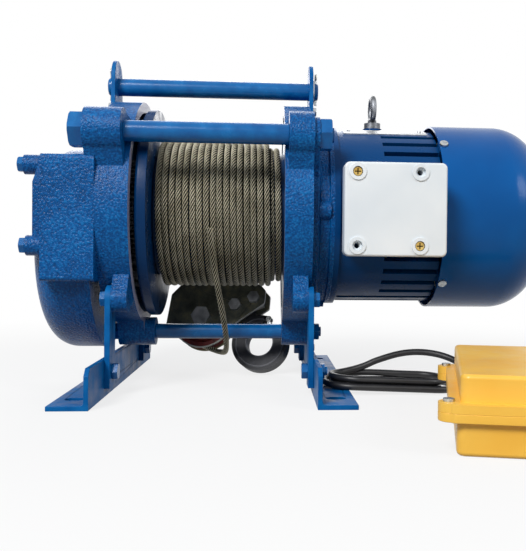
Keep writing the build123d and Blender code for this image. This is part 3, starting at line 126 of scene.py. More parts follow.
def sand_cast_enamel(settings):
    # Alkyd enamel sprayed over sand-cast iron: the sand's grain of 1 to 2 mm shows as dimples that
    # break the highlights, with painted shade in the hollows and a painted highlight on the crowns.
    # The enamel stops at the milled seats that face along the drum, which show bare grey iron with
    # the lilac cast of oil.
    finish, tree, coords = start_finish("sand_cast_blue_enamel_with_milled_faces")
    place = coords.outputs["Object"]
    grain = add(tree, "ShaderNodeTexNoise", {"Scale": lump_scale(1.9), "Detail": 1.5},
                {"Vector": place})
    drift = add(tree, "ShaderNodeTexNoise", {"Scale": lump_scale(45.0)}, {"Vector": place})
    tone = add(tree, "ShaderNodeMix", {"Factor": 0.3}, {NUMBER_A: grain, NUMBER_B: drift})
    # Tinted by the dents' grain: painted shade in the hollows, painted highlight on the crowns.
    enamel = add(tree, "ShaderNodeValToRGB", links={"Fac": tone},
                 stops=((0.28, settings.cast_shade), (0.50, settings.cast_blue),
                        (0.72, settings.cast_light)))
    gloss = add(tree, "ShaderNodeValToRGB", links={"Fac": drift}, stops=((0.3, 0.26), (0.7, 0.36)))
    dimples = add(tree, "ShaderNodeBump", {"Distance": 0.85 * MM}, {"Height": grain})
    sand = add(tree, "ShaderNodeTexNoise", {"Scale": lump_scale(1.1)}, {"Vector": place})
    skin = add(tree, "ShaderNodeBump", {"Distance": 0.15 * MM}, {"Height": sand, "Normal": dimples})

    facing = add(tree, "ShaderNodeSeparateXYZ", links={"Vector": coords.outputs["Normal"]})
    station = add(tree, "ShaderNodeSeparateXYZ", links={"Vector": place})
    seats = []
    for side, seat_x in ((1.0, LEFT_SEAT_X), (-1.0, RIGHT_SEAT_X)):
        inward = add(tree, "ShaderNodeMath", {1: side}, {0: facing.outputs["X"]},
                     operation="MULTIPLY")
        square = add(tree, "ShaderNodeMath", {1: 0.97}, {0: inward}, operation="GREATER_THAN")
        near = add(tree, "ShaderNodeMath", {1: seat_x, 2: 0.8 * MM}, {0: station.outputs["X"]},
                   operation="COMPARE")
        seats.append(add(tree, "ShaderNodeMath", {}, {0: square, 1: near}, operation="MULTIPLY"))
    milled = add(tree, "ShaderNodeMath", {}, {0: seats[0], 1: seats[1]}, operation="MAXIMUM")
    colour = add(tree, "ShaderNodeMix", {COLOUR_B: linear("#8E90AC")},
                 {"Factor": milled, COLOUR_A: enamel}, data_type="RGBA")
    end_finish(tree, {"IOR": 1.5, "Specular IOR Level": 0.16},
               {"Base Color": colour.outputs[COLOUR_OUT], "Roughness": gloss, "Normal": skin})
    return finish


def sprayed_enamel(name, shade, light, specular, roughness):
    # The same enamel on rolled steel and on the motor's frame: smoother, with the faint waves of
    # the rolled skin, 14 mm long, and dust nibs of 1.6 mm, drawn coarser than real ones so that
    # they show. Without a light tone the colour is even all over.
    finish, tree, coords = start_finish(name)
    place = coords.outputs["Object"]
    waves = add(tree, "ShaderNodeTexNoise", {"Scale": lump_scale(14.0), "Detail": 3.0},
                {"Vector": place})
    gloss = add(tree, "ShaderNodeValToRGB", links={"Fac": waves},
                stops=((0.3, roughness * 0.8), (0.7, roughness * 1.3)))
    rolled = add(tree, "ShaderNodeBump", {"Distance": 0.18 * MM}, {"Height": waves})
    nibs = add(tree, "ShaderNodeTexNoise", {"Scale": lump_scale(1.6)}, {"Vector": place})
    skin = add(tree, "ShaderNodeBump", {"Distance": 0.08 * MM}, {"Height": nibs, "Normal": rolled})
    values = {"IOR": 1.5, "Specular IOR Level": specular}
    links = {"Roughness": gloss, "Normal": skin}
    if light:
        links["Base Color"] = add(tree, "ShaderNodeValToRGB", links={"Fac": waves},
                                  stops=((0.25, shade), (0.95, light)))
    else:
        values["Base Color"] = linear(shade)
    end_finish(tree, values, links)
    return finish


def gloss_enamel(settings):
    # Baked gloss enamel on pressed sheet: a deep, even blue that drifts over 60 mm, with a smooth
    # coat and a trace of orange peel, 5 mm across.
    finish, tree, coords = start_finish("baked_gloss_blue_enamel")
    place = coords.outputs["Object"]
    drift = add(tree, "ShaderNodeTexNoise", {"Scale": lump_scale(60.0)}, {"Vector": place})
    colour = add(tree, "ShaderNodeValToRGB", links={"Fac": drift},
                 stops=((0.35, settings.cowl_blue), (0.7, "#00559A")))
    peel = add(tree, "ShaderNodeTexNoise", {"Scale": lump_scale(5.0), "Detail": 1.0},
               {"Vector": place})
    skin = add(tree, "ShaderNodeBump", {"Distance": 0.05 * MM}, {"Height": peel})
    end_finish(tree, {"IOR": 1.5, "Roughness": 0.22, "Specular IOR Level": 0.15},
               {"Base Color": colour, "Normal": skin})
    return finish


def scuffed_plate_paint():
    # Brush-painted mild steel plate that has rubbed against rope: dusty dark olive with rusty
    # scuffs. The cut edges, which don't face along the plate's normal, are pale: bare metal worn
    # bright, with a painted highlight.
    finish, tree, coords = start_finish("scuffed_dark_paint_on_plate")
    scuffs = add(tree, "ShaderNodeTexNoise",
                 {"Scale": lump_scale(18.0), "Detail": 8.0, "Roughness": 0.7},
                 {"Vector": coords.outputs["Object"]})
    paint = add(tree, "ShaderNodeValToRGB", links={"Fac": scuffs},
                stops=((0.30, "#3A3D35"), (0.50, "#65675A"), (0.62, "#848064"), (0.74, "#A69D78")))
    facing = add(tree, "ShaderNodeVectorMath", {1: BLOCK_ACROSS}, {0: coords.outputs["Normal"]},
                 operation="DOT_PRODUCT")
    flat = add(tree, "ShaderNodeMath", {}, {0: facing.outputs["Value"]}, operation="ABSOLUTE")
    # Pale cut edges: worn bare metal and a painted highlight.
    edge = add(tree, "ShaderNodeMath", {1: 0.9}, {0: flat}, operation="LESS_THAN")
    colour = add(tree, "ShaderNodeMix", {COLOUR_B: linear("#D8D6C8")},
                 {"Factor": edge, COLOUR_A: paint}, data_type="RGBA")
    gloss = add(tree, "ShaderNodeValToRGB", links={"Fac": scuffs},
                stops=((0.4, 0.30), (0.7, 0.55)))
    skin = add(tree, "ShaderNodeBump", {"Distance": 0.25 * MM}, {"Height": scuffs})
    end_finish(tree, {"IOR": 1.5},
               {"Base Color": colour.outputs[COLOUR_OUT], "Roughness": gloss, "Normal": skin})
    return finish


def forged_enamel():
    # Black stoving enamel over drop-forged steel: satin, with the shallow pits of the forging
    # scale, 5 mm across, and the raised rim that the die leaves round the bowl, 26 mm from its
    # centre. The bowl's edge and the step up to the rim are rubbed pale, with a painted highlight,
    # and just outside the step lies a dark line of painted shadow.
    finish, tree, coords = start_finish("black_enamel_on_forging")
    place = coords.outputs["Object"]
    pits = add(tree, "ShaderNodeTexNoise",
               {"Scale": lump_scale(5.0), "Detail": 5.0, "Roughness": 0.6}, {"Vector": place})
    enamel = add(tree, "ShaderNodeValToRGB", links={"Fac": pits},
                 stops=((0.3, "#26272B"), (0.55, "#3A3B41"), (0.85, "#5A5B63")))
    away = off_axis(tree, place, HOOK_CENTRE, BLOCK_ACROSS)[1]
    band = add(tree, "ShaderNodeMapRange", {"From Min": 14.5 * MM, "From Max": 30.5 * MM},
               {"Value": away})
    # Pale bands at the bowl's edge and the step: wear and a painted highlight. Dark band just
    # outside the step: painted shadow.
    rubbed = add(tree, "ShaderNodeValToRGB", links={"Fac": band},
                 stops=((0.02, "#8E8F94"), (0.10, "#34353A"), (0.66, "#3C3D42"),
                        (0.73, "#A4A5AA"), (0.79, "#1B1C1F"), (1.0, "#25262A")))
    colour = add(tree, "ShaderNodeMix", {"Factor": 0.65}, {COLOUR_A: enamel, COLOUR_B: rubbed},
                 data_type="RGBA")
    step = add(tree, "ShaderNodeMapRange", {"From Min": 25.8 * MM, "From Max": 26.8 * MM},
               {"Value": away}, interpolation_type="SMOOTHSTEP")
    rim = add(tree, "ShaderNodeBump", {"Distance": 1.4 * MM}, {"Height": step})
    skin = add(tree, "ShaderNodeBump", {"Distance": 0.22 * MM}, {"Height": pits, "Normal": rim})
    end_finish(tree, {"IOR": 1.5, "Roughness": 0.48, "Specular IOR Level": 0.22},
               {"Base Color": colour.outputs[COLOUR_OUT], "Normal": skin})
    return finish


def red_oxide_primer():
    # Red oxide primer on a cast wheel, worn dark in patches of 9 mm by the oily rope. The rims of
    # its two flanges are rubbed to bare metal, pale on the near flange as a painted highlight and
    # olive on the far flange as painted shade.
    finish, tree, coords = start_finish("red_oxide_on_cast_wheel")
    place = coords.outputs["Object"]
    wear = add(tree, "ShaderNodeTexNoise",
               {"Scale": lump_scale(9.0), "Detail": 5.0, "Roughness": 0.6}, {"Vector": place})
    primer = add(tree, "ShaderNodeValToRGB", links={"Fac": wear},
                 stops=((0.3, "#3A1513"), (0.5, "#74231F"), (0.8, "#93352C")))
    offset, away = off_axis(tree, place, SHEAVE_CENTRE, BLOCK_ACROSS)
    rim = add(tree, "ShaderNodeMath", {1: 32.6 * MM}, {0: away}, operation="GREATER_THAN")
    deep = add(tree, "ShaderNodeVectorMath", {1: BLOCK_ACROSS}, {0: offset},
               operation="DOT_PRODUCT")
    side = add(tree, "ShaderNodeMapRange", {"From Min": -9.0 * MM, "From Max": 9.0 * MM},
               {"Value": deep.outputs["Value"]})
    # Near rim pale as a painted highlight, far rim olive as painted shade.
    rim_highlight_and_shade = add(tree, "ShaderNodeValToRGB", links={"Fac": side},
                stops=((0.35, "#DADBD0"), (0.65, "#77704A")))
    colour = add(tree, "ShaderNodeMix", links={"Factor": rim, COLOUR_A: primer, COLOUR_B: rim_highlight_and_shade},
                 data_type="RGBA")
    skin = add(tree, "ShaderNodeBump", {"Distance": 0.2 * MM}, {"Height": wear})
    end_finish(tree, {"IOR": 1.5, "Roughness": 0.55},
               {"Base Color": colour.outputs[COLOUR_OUT], "Normal": skin})
    return finish


# Metal

def turned_metal(name, shade, light, roughness, line_mm, across, recess=None):
    # Turned, milled or rolled metal, bare and lightly oiled: fine lines that stretch the highlight
    # and a cloudy film of oil, 9 mm across. Real tool lines are a fraction of a millimetre apart,
    # and these are drawn line_mm apart, 1 to 2.4 mm, so that they show. Recess is the darker colour
    # in the cross of a lid screw, which is 0.8 mm deep; it sets in from 0.1 to 0.4 mm below the
    # head.
    finish, tree, coords = start_finish(name)
    place = coords.outputs["Object"]
    lines = add(tree, "ShaderNodeTexWave",
                {"Scale": line_scale(line_mm), "Distortion": 0.6, "Detail": 1.0},
                {"Vector": place}, bands_direction=across)
    film = add(tree, "ShaderNodeTexNoise", {"Scale": lump_scale(9.0), "Detail": 4.0},
               {"Vector": place})
    colour = add(tree, "ShaderNodeValToRGB", links={"Fac": film},
                 stops=((0.3, shade), (0.7, light))).outputs["Color"]
    gloss = add(tree, "ShaderNodeValToRGB", links={"Fac": film},
                stops=((0.3, roughness * 0.8), (0.7, roughness * 1.35)))
    if recess:
        station = add(tree, "ShaderNodeSeparateXYZ", links={"Vector": place})
        # Darker in the cross of the screw, below the head's face.
        darker_in_cross = add(tree, "ShaderNodeMapRange",
                   {"From Min": SCREW_HEAD_Y + 0.1 * MM, "From Max": SCREW_HEAD_Y + 0.4 * MM},
                   {"Value": station.outputs["Y"]})
        colour = add(tree, "ShaderNodeMix", {COLOUR_B: linear(recess)},
                     {"Factor": darker_in_cross, COLOUR_A: colour}, data_type="RGBA").outputs[COLOUR_OUT]
    skin = add(tree, "ShaderNodeBump", {"Distance": 0.03 * MM}, {"Height": lines.outputs["Fac"]})
    end_finish(tree, {"Metallic": 1.0}, {"Base Color": colour, "Roughness": gloss, "Normal": skin})
    return finish


def zinc_plate():
    # Bright zinc on small fasteners: cool grey, with cloudy patches of 4 mm where the passivation
    # varies, and a grain of 0.8 mm, drawn coarser than the real one so that it shows.
    finish, tree, coords = start_finish("bright_zinc_plate")
    place = coords.outputs["Object"]
    cloud = add(tree, "ShaderNodeTexNoise", {"Scale": lump_scale(4.0), "Detail": 3.0},
                {"Vector": place})
    colour = add(tree, "ShaderNodeValToRGB", links={"Fac": cloud},
                 stops=((0.3, "#9DA2A6"), (0.55, "#C3C7CA"), (0.75, "#B7B49A")))
    gloss = add(tree, "ShaderNodeValToRGB", links={"Fac": cloud}, stops=((0.3, 0.22), (0.7, 0.4)))
    grain = add(tree, "ShaderNodeTexNoise", {"Scale": lump_scale(0.8)}, {"Vector": place})
    skin = add(tree, "ShaderNodeBump", {"Distance": 0.03 * MM}, {"Height": grain})
    end_finish(tree, {"Metallic": 1.0}, {"Base Color": colour, "Roughness": gloss, "Normal": skin})
    return finish


STRANDS = 6
WIRE_BANDS = 40


def wire_rope_steel():
    # Galvanised steel wires under old lay oil: dark olive in the valleys between the strands, oil
    # with painted shade, and pale along their crowns, rubbed and with a painted highlight. Deep
    # between the turns on the drum they are darkened again as painted shade. The map runs along
    # the rope (U, one lay) and round it (V), so V tells crown from valley. Bands of U + V lie along
    # the rope, as the outer wires do, 0.4 mm apart, about a wire's thickness.
    finish, tree, coords = start_finish("oiled_galvanised_wire")
    place = coords.outputs["Object"]
    chart = add(tree, "ShaderNodeUVMap", uv_map="lay")
    split = add(tree, "ShaderNodeSeparateXYZ", links={"Vector": chart})
    turns = add(tree, "ShaderNodeMath", {1: STRANDS * 2 * pi}, {0: split.outputs["Y"]},
                operation="MULTIPLY")
    crown = add(tree, "ShaderNodeMath", {}, {0: turns}, operation="COSINE")
    both = add(tree, "ShaderNodeMath", {}, {0: split.outputs["X"], 1: split.outputs["Y"]},
               operation="ADD")
    beat = add(tree, "ShaderNodeMath", {1: WIRE_BANDS * 2 * pi}, {0: both}, operation="MULTIPLY")
    wires = add(tree, "ShaderNodeMath", {}, {0: beat}, operation="SINE")
    grime = add(tree, "ShaderNodeTexNoise",
                {"Scale": lump_scale(24.0), "Detail": 5.0, "Roughness": 0.6}, {"Vector": place})
    film = add(tree, "ShaderNodeMath", {1: 0.5}, {0: grime}, operation="MULTIPLY")
    tone = add(tree, "ShaderNodeMath", {1: 0.30}, {0: crown, 2: film}, operation="MULTIPLY_ADD")

    # Painted shade between the turns: 1 from 1.1 mm outside a layer's centreline, and 0.3 at it
    # and below. The upper layer's centreline, at a radius of 70.2 mm, ends at X 52.5 mm. What shows
    # right of it is the lower layer, 5.2 mm nearer to the axis.
    radius = off_axis(tree, place, DRUM_AXIS, (1.0, 0.0, 0.0))[1]
    station = add(tree, "ShaderNodeSeparateXYZ", links={"Vector": place})
    layer = add(tree, "ShaderNodeMapRange",
                {"From Min": 52.6 * MM, "From Max": 53.2 * MM, "To Min": 0.0, "To Max": 5.2 * MM},
                {"Value": station.outputs["X"]})
    level = add(tree, "ShaderNodeMath", {}, {0: radius, 1: layer}, operation="ADD")
    shade_between_turns = add(tree, "ShaderNodeMapRange",
                {"From Min": 70.2 * MM, "From Max": 71.3 * MM, "To Min": 0.3, "To Max": 1.0},
                {"Value": level})
    tone = add(tree, "ShaderNodeMath", {}, {0: tone, 1: shade_between_turns}, operation="MULTIPLY")
    # Near black to near white: oil and wear, with painted shade in valleys and a painted highlight
    # on crowns.
    colour = add(tree, "ShaderNodeValToRGB", links={"Fac": tone},
                 stops=((0.08, "#080705"), (0.24, "#6C654F"), (0.40, "#CBC2A0"), (0.54, "#FBF5DF")))
    skin = add(tree, "ShaderNodeBump", {"Distance": 0.10 * MM}, {"Height": wires})
    end_finish(tree, {"Metallic": 0.25, "Roughness": 0.5, "Specular IOR Level": 0.3},
               {"Base Color": colour, "Normal": skin})
    return finish


def stacked_lamination():
    # Punched electrical steel: the edges of the stacked sheets show as fine dark and pale lines.
    # Real sheets are 0.5 mm thick, and they are drawn at 3 mm so that the edges show.
    finish, tree, coords = start_finish("stacked_electrical_steel")
    sheets = add(tree, "ShaderNodeTexWave", {"Scale": line_scale(2.96)},
                 {"Vector": coords.outputs["Object"]}, bands_direction="X").outputs["Fac"]
    colour = add(tree, "ShaderNodeValToRGB", links={"Fac": sheets},
                 stops=((0.2, "#3A3C40"), (0.8, "#777A80")))
    skin = add(tree, "ShaderNodeBump", {"Distance": 0.15 * MM}, {"Height": sheets})
    end_finish(tree, {"Metallic": 0.9, "Roughness": 0.5}, {"Base Color": colour, "Normal": skin})
    return finish


def wound_copper():
    # Enamelled copper end turns: reddish amber wire laid side by side and varnished. Real wire is
    # 1 mm thick, and it is drawn at 3 mm so that it shows.
    finish, tree, coords = start_finish("varnished_copper_wire")
    wires = add(tree, "ShaderNodeTexWave", {"Scale": line_scale(3.16), "Distortion": 2.5},
                {"Vector": coords.outputs["Object"]}, wave_type="RINGS",
                rings_direction="X").outputs["Fac"]
    colour = add(tree, "ShaderNodeValToRGB", links={"Fac": wires},
                 stops=((0.1, "#5A2E18"), (0.8, "#C27A48")))
    skin = add(tree, "ShaderNodeBump", {"Distance": 0.4 * MM}, {"Height": wires})
    end_finish(tree, {"Metallic": 0.9, "Roughness": 0.35}, {"Base Color": colour, "Normal": skin})
    return finish


# Plastic

def moulded_plastic(name, shade, light, roughness, grain_mm=0.9, depth_mm=0.02):
    # Moulded or extruded plastic: a colour that drifts a little over 45 mm, a soft broad sheen and
    # the fine texture of the mould, drawn coarser than the real one so that it shows.
    finish, tree, coords = start_finish(name)
    place = coords.outputs["Object"]
    drift = add(tree, "ShaderNodeTexNoise", {"Scale": lump_scale(45.0)}, {"Vector": place})
    colour = add(tree, "ShaderNodeValToRGB", links={"Fac": drift},
                 stops=((0.3, shade), (0.75, light)))
    sheen = add(tree, "ShaderNodeTexNoise", {"Scale": lump_scale(12.0), "Detail": 3.0},
                {"Vector": place})
    gloss = add(tree, "ShaderNodeValToRGB", links={"Fac": sheen},
                stops=((0.3, roughness * 0.85), (0.7, roughness * 1.2)))
    grain = add(tree, "ShaderNodeTexNoise", {"Scale": lump_scale(grain_mm)}, {"Vector": place})
    skin = add(tree, "ShaderNodeBump", {"Distance": depth_mm * MM}, {"Height": grain})
    end_finish(tree, {"IOR": 1.5}, {"Base Color": colour, "Roughness": gloss, "Normal": skin})
    return finish


FINISHES = {}


def finish_called(name):
    """One of the winch's finishes, which are all made at the first call."""
    if not FINISHES:
        settings = bpy.context.scene.winch
        blue, light = settings.cast_blue, settings.cast_light
        FINISHES.update({
            "cast": sand_cast_enamel(settings),
            "sprayed": sprayed_enamel("sprayed_blue_enamel_on_rolled_steel", blue, light,
                                      specular=0.26, roughness=0.22),
            "iron": sprayed_enamel("satin_blue_enamel_on_angle_iron", blue, light,
                                   specular=0.10, roughness=0.42),
            # The motor frame's darker blue is partly its own paint and partly painted shade.
            "frame": sprayed_enamel("darker_blue_enamel_partly_painted_shade_on_motor_frame", "#003C70", None,
                                    specular=0.12, roughness=0.3),
            # The drum flange is the castings' blue darkened as painted shade.
            "flange": sprayed_enamel("sprayed_blue_enamel_on_drum_flange", "#002C56", None,
                                     specular=0.12, roughness=0.3),
            "gloss": gloss_enamel(settings),
            "plate": scuffed_plate_paint(),
            "forging": forged_enamel(),
            "wheel": red_oxide_primer(),
            "steel": turned_metal("oiled_turned_steel", "#7C7F84", "#B4B7BC",
                                  roughness=0.32, line_mm=1.58, across="X"),
            "gear": turned_metal("hobbed_gear_steel", "#54565A", "#8C8F94",
                                 roughness=0.4, line_mm=1.18, across="Z"),
            "bolt": turned_metal("rubbed_bolt_steel", "#8A8D92", "#C6C9CD",
                                 roughness=0.42, line_mm=2.37, across="Z"),
            "brass": turned_metal("turned_brass", "#A57F35", "#E3C67C",
                                  roughness=0.3, line_mm=0.987, across="Y", recess="#241B0C"),
            "aluminium": turned_metal("rolled_aluminium_sheet", "#B4B6B9", "#D9DADC",
                                      roughness=0.38, line_mm=0.987, across="X"),
            "zinc": zinc_plate(),
            "rope": wire_rope_steel(),
            "lamination": stacked_lamination(),
            "copper": wound_copper(),
            "white": moulded_plastic("moulded_white_abs", "#D8DFE4", "#E4E9EC",
                                     roughness=0.34),
            "dark": moulded_plastic("moulded_black_nylon", "#17181A", "#26272A",
                                    roughness=0.5, grain_mm=0.7, depth_mm=0.04),
            "yellow": moulded_plastic("moulded_yellow_abs", "#F3B73E", "#F9C753",
                                      roughness=0.36),
            "jacket": moulded_plastic("extruded_black_pvc_jacket", "#121214", "#232326",
                                      roughness=0.42, grain_mm=0.6, depth_mm=0.03),
        })
    return FINISHES[name]


# Pieces

SEAM_GAP = 0.004 * MM
BROAD_EDGE_MM = 1.0


def dress(names, finish_name, edge_mm=0.4, sharp_from=35.0):
    """Gives CAD nodes their finish, and softens edges that turn by sharp_from degrees or more."""
    for name in names:
        node = NODES[name]
        for entry in node.material_slots:
            entry.material = finish_called(finish_name)
        for face in node.data.polygons:
            face.use_smooth = True
        weld = node.modifiers.new("close_seams", "WELD")
        weld.merge_threshold = SEAM_GAP
        edge = node.modifiers.new("soft_edges", "BEVEL")
        edge.width = edge_mm * MM
        edge.segments = 2 if edge_mm < BROAD_EDGE_MM else 3
        edge.limit_method = "ANGLE"
        edge.angle_limit = radians(sharp_from)
        shade = node.modifiers.new("even_shading", "WEIGHTED_NORMAL")
        shade.keep_sharp = True


def centreline(name, points):
    """Open NURBS curve with these control points, in metres."""
    curve = bpy.data.curves.new(name, "CURVE")
    curve.dimensions = "3D"
    spline = curve.splines.new("NURBS")
    spline.points.add(len(points) - 1)
    for control, point in zip(spline.points, points):
        control.co = (*point, 1.0)
    spline.order_u = 3
    spline.use_endpoint_u = True
    spline.resolution_u = 16
    curve.resolution_u = 16
    piece = bpy.data.objects.new(name, curve)
    bpy.context.scene.collection.objects.link(piece)
    return piece


def read_line(piece):
    """Points along a curve that has no bevel yet, as Blender's own mesh of it gives them."""
    mesh = bpy.data.meshes.new_from_object(piece)
    points = [vertex.co.copy() for vertex in mesh.vertices]
    bpy.data.meshes.remove(mesh)
    return points


def line_length(points):
    """Length along the points."""
    return sum((b - a).length for a, b in zip(points, points[1:]))


def even_steps(points, step):
    """The same line with points a step apart."""
    out = [points[0].copy()]
    left = step
    for a, b in zip(points, points[1:]):
        span = (b - a).length
        at = 0.0
        while span - at >= left:
            at += left
            out.append(a.lerp(b, at / span))
            left = step
        left -= span - at
    out.append(points[-1].copy())
    return out


SECTION_SIDES = STRANDS * 2
VALLEY = 0.70


def stranded(name, points, radius, lay):
    """Rope of helical strands along points: a lobed section that turns once in each lay."""
    sides = SECTION_SIDES
    verts, faces, laid = [], [], []
    normal = Vector((0, 0, 1)).cross(points[1] - points[0])
    if normal.length < 1e-6:
        normal = Vector((1, 0, 0))
    normal.normalize()
    run = 0.0
    for i, point in enumerate(points):
        ahead = points[min(i + 1, len(points) - 1)] - points[max(i - 1, 0)]
        ahead.normalize()
        normal = (normal - ahead * normal.dot(ahead)).normalized()
        side = ahead.cross(normal)
        if i:
            run += (point - points[i - 1]).length
        for k in range(sides):
            angle = 2 * pi * (k / sides + run / lay)
            reach = radius * (1.0 if k % 2 == 0 else VALLEY)
            verts.append(point + normal * (reach * cos(angle)) + side * (reach * sin(angle)))
        laid.append(run / lay)
    for i in range(len(points) - 1):
        for k in range(sides):
            n = (k + 1) % sides
            faces.append((i * sides + k, i * sides + n, (i + 1) * sides + n, (i + 1) * sides + k))
    faces.append(tuple(range(sides))[::-1])
    faces.append(tuple((len(points) - 1) * sides + k for k in range(sides)))
    mesh = bpy.data.meshes.new(name)
    mesh.from_pydata([tuple(v) for v in verts], [], faces)
    mesh.update()
    chart = mesh.uv_layers.new(name="lay")
    for face in mesh.polygons:
        face.use_smooth = True
        corners = [(loop, *divmod(mesh.loops[loop].vertex_index, sides))
                   for loop in face.loop_indices]
        closes = any(k == sides - 1 for _, _, k in corners)
        for loop, row, k in corners:
            chart.data[loop].uv = (laid[row], 1.0 if k == 0 and closes else k / sides)
    piece = bpy.data.objects.new(name, mesh)
    bpy.context.scene.collection.objects.link(piece)
    mesh.materials.append(finish_called("rope"))
    return piece


class WinchSettings(bpy.types.PropertyGroup):
    """Sizes and colours of the winch that a user may change."""
    cast_blue: bpy.props.StringProperty(
        name="Casting blue", description="Enamel of castings and irons, sRGB hex",
        default="#004D8C")
    # On the castings these tones are painted shade in hollows and a painted highlight on crowns.
    cast_shade: bpy.props.StringProperty(
        name="Casting shade", description="Enamel in the castings' hollows, sRGB hex",
        default="#003563")
    cast_light: bpy.props.StringProperty(
        name="Casting light", description="Enamel on the castings' crowns, sRGB hex",
        default="#1271B2")
    cowl_blue: bpy.props.StringProperty(
        name="Fan cover blue", description="Gloss enamel of the fan cover, sRGB hex",
        default="#004C8E")
    rope_diameter: bpy.props.FloatProperty(
        name="Rope", description="Diameter of the wire rope",
        default=0.006, unit="LENGTH", subtype="DISTANCE")
    rope_lay: bpy.props.FloatProperty(
        name="Lay", description="Length in which a strand goes once round the rope",
        default=0.025, unit="LENGTH", subtype="DISTANCE")
    cable_diameter: bpy.props.FloatProperty(
        name="Cable", description="Diameter of the control cable",
        default=0.0064, unit="LENGTH", subtype="DISTANCE")


# Stage

CAMERA_PLACE = (0.0493, -0.7755, 0.1239)
CAMERA_PAN, CAMERA_TILT, CAMERA_ROLL = -0.075, -0.014, 0.010
LENS_MM, SENSOR_MM = 49.05, 36.0
LENS_SHIFT_X, LENS_SHIFT_Y = -0.1085, -0.010
FLOOR_REACH = 4.0
# Name, place, width of the disk in metres and watts of each lamp, and the point they all face.
LAMPS = (("key_light", (-0.8, -1.6, 1.45), 0.8, 42.0),
         ("side_light", (1.6, -1.2, 1.2), 0.8, 12.0),
         ("back_light", (-0.1, 1.7, 1.1), 1.4, 16.0))
LAMP_AIM = Vector((0.05, 0.0, 0.15))


def seen_rays(tree):
    """1 for rays that show a thing, directly, mirrored or through glass, and 0 for its light."""
    rays = add(tree, "ShaderNodeLightPath")
    plain = add(tree, "ShaderNodeMath", {},
                {0: rays.outputs["Is Camera Ray"], 1: rays.outputs["Is Glossy Ray"]},
                operation="MAXIMUM")
    return add(tree, "ShaderNodeMath", {}, {0: plain, 1: rays.outputs["Is Transmission Ray"]},
               operation="MAXIMUM")


def backdrop_paper():
    # White matt paper: seen, it glows white, and more so away from the object, where its shadow
    # has faded out. The light that it throws back on the object is that of a mid grey.
    paper, tree, coords = start_finish("white_backdrop_paper")
    rays = add(tree, "ShaderNodeLightPath")
    tint = add(tree, "ShaderNodeMix", {COLOUR_A: linear("#DEDEDE"), COLOUR_B: linear("#8E8E8E")},
               {"Factor": rays.outputs["Is Diffuse Ray"]}, data_type="RGBA")
    matt = add(tree, "ShaderNodeBsdfDiffuse", links={"Color": tint.outputs[COLOUR_OUT]})
    glow = add(tree, "ShaderNodeEmission", {"Color": linear("#FFFFFF"), "Strength": 1.0})
    away = add(tree, "ShaderNodeVectorMath", {}, {0: coords.outputs["Object"]},
               operation="LENGTH")
    fade = add(tree, "ShaderNodeMapRange",
               {"From Min": 0.25, "From Max": 0.9, "To Min": 0.78, "To Max": 1.0},
               {"Value": away.outputs["Value"]}, interpolation_type="SMOOTHSTEP")
    share = add(tree, "ShaderNodeMath", {}, {0: seen_rays(tree), 1: fade}, operation="MULTIPLY")
    both = add(tree, "ShaderNodeMixShader", {}, {0: share, 1: matt, 2: glow})
    add(tree, "ShaderNodeOutputMaterial", links={"Surface": both})
    return paper


def pale_room():
    """World that is white where it is seen and lights the object softly."""
    world = bpy.data.worlds.new("pale_room")
    world.use_nodes = True
    tree = world.node_tree
    tree.nodes.clear()
    room = add(tree, "ShaderNodeBackground", {"Color": linear("#E9EEF4"), "Strength": 0.30})
    white = add(tree, "ShaderNodeBackground", {"Color": linear("#FFFFFF"), "Strength": 1.0})
    both = add(tree, "ShaderNodeMixShader", {}, {0: seen_rays(tree), 1: room, 2: white})
    add(tree, "ShaderNodeOutputWorld", links={"Surface": both})
    return world


class WINCH_OT_stage(bpy.types.Operator):
    """Camera at the photograph's place, pale floor, soft lights"""
    bl_idname = "winch.stage"
    bl_label = "Stage"

    def execute(self, context):
        scene = context.scene
        lens = bpy.data.cameras.new("front_camera")
        lens.lens = LENS_MM
        lens.sensor_width = SENSOR_MM
        lens.shift_x = LENS_SHIFT_X
        lens.shift_y = LENS_SHIFT_Y
        camera = bpy.data.objects.new("front_camera", lens)
        scene.collection.objects.link(camera)
        camera.matrix_world = (Matrix.Translation(CAMERA_PLACE)
                               @ Matrix.Rotation(CAMERA_PAN, 4, "Z")
                               @ Matrix.Rotation(pi / 2 + CAMERA_TILT, 4, "X")
                               @ Matrix.Rotation(CAMERA_ROLL, 4, "Z"))
        scene.camera = camera

        mesh = bpy.data.meshes.new("floor")
        far = FLOOR_REACH
        mesh.from_pydata([(-far, -far, 0), (far, -far, 0), (far, far, 0), (-far, far, 0)], [],
                         [(0, 1, 2, 3)])
        mesh.materials.append(backdrop_paper())
        floor = bpy.data.objects.new("floor", mesh)
        scene.collection.objects.link(floor)

        scene.world = pale_room()
        for name, place, width, watts in LAMPS:
            lamp = bpy.data.lights.new(name, "AREA")
            lamp.shape = "DISK"
            lamp.size = width
            lamp.energy = watts
            light = bpy.data.objects.new(name, lamp)
            scene.collection.objects.link(light)
            light.location = place
            aim = LAMP_AIM - light.location
            light.rotation_euler = aim.to_track_quat("-Z", "Y").to_euler()
        scene.view_settings.view_transform = "Standard"
        return {"FINISHED"}


# Rope and cable

ROPE_ROUTE = ((-0.0036, -0.0708, 0.1520), (-0.0030, -0.0672, 0.1327), (0.0130, -0.0120, 0.0300),
              (-0.0015, 0.0484, 0.0211), (-0.0459, 0.0660, 0.0384), (-0.0397, 0.0909, 0.1089),
              (-0.0397, 0.0976, 0.2119))
ROPE_STEP = 0.0018


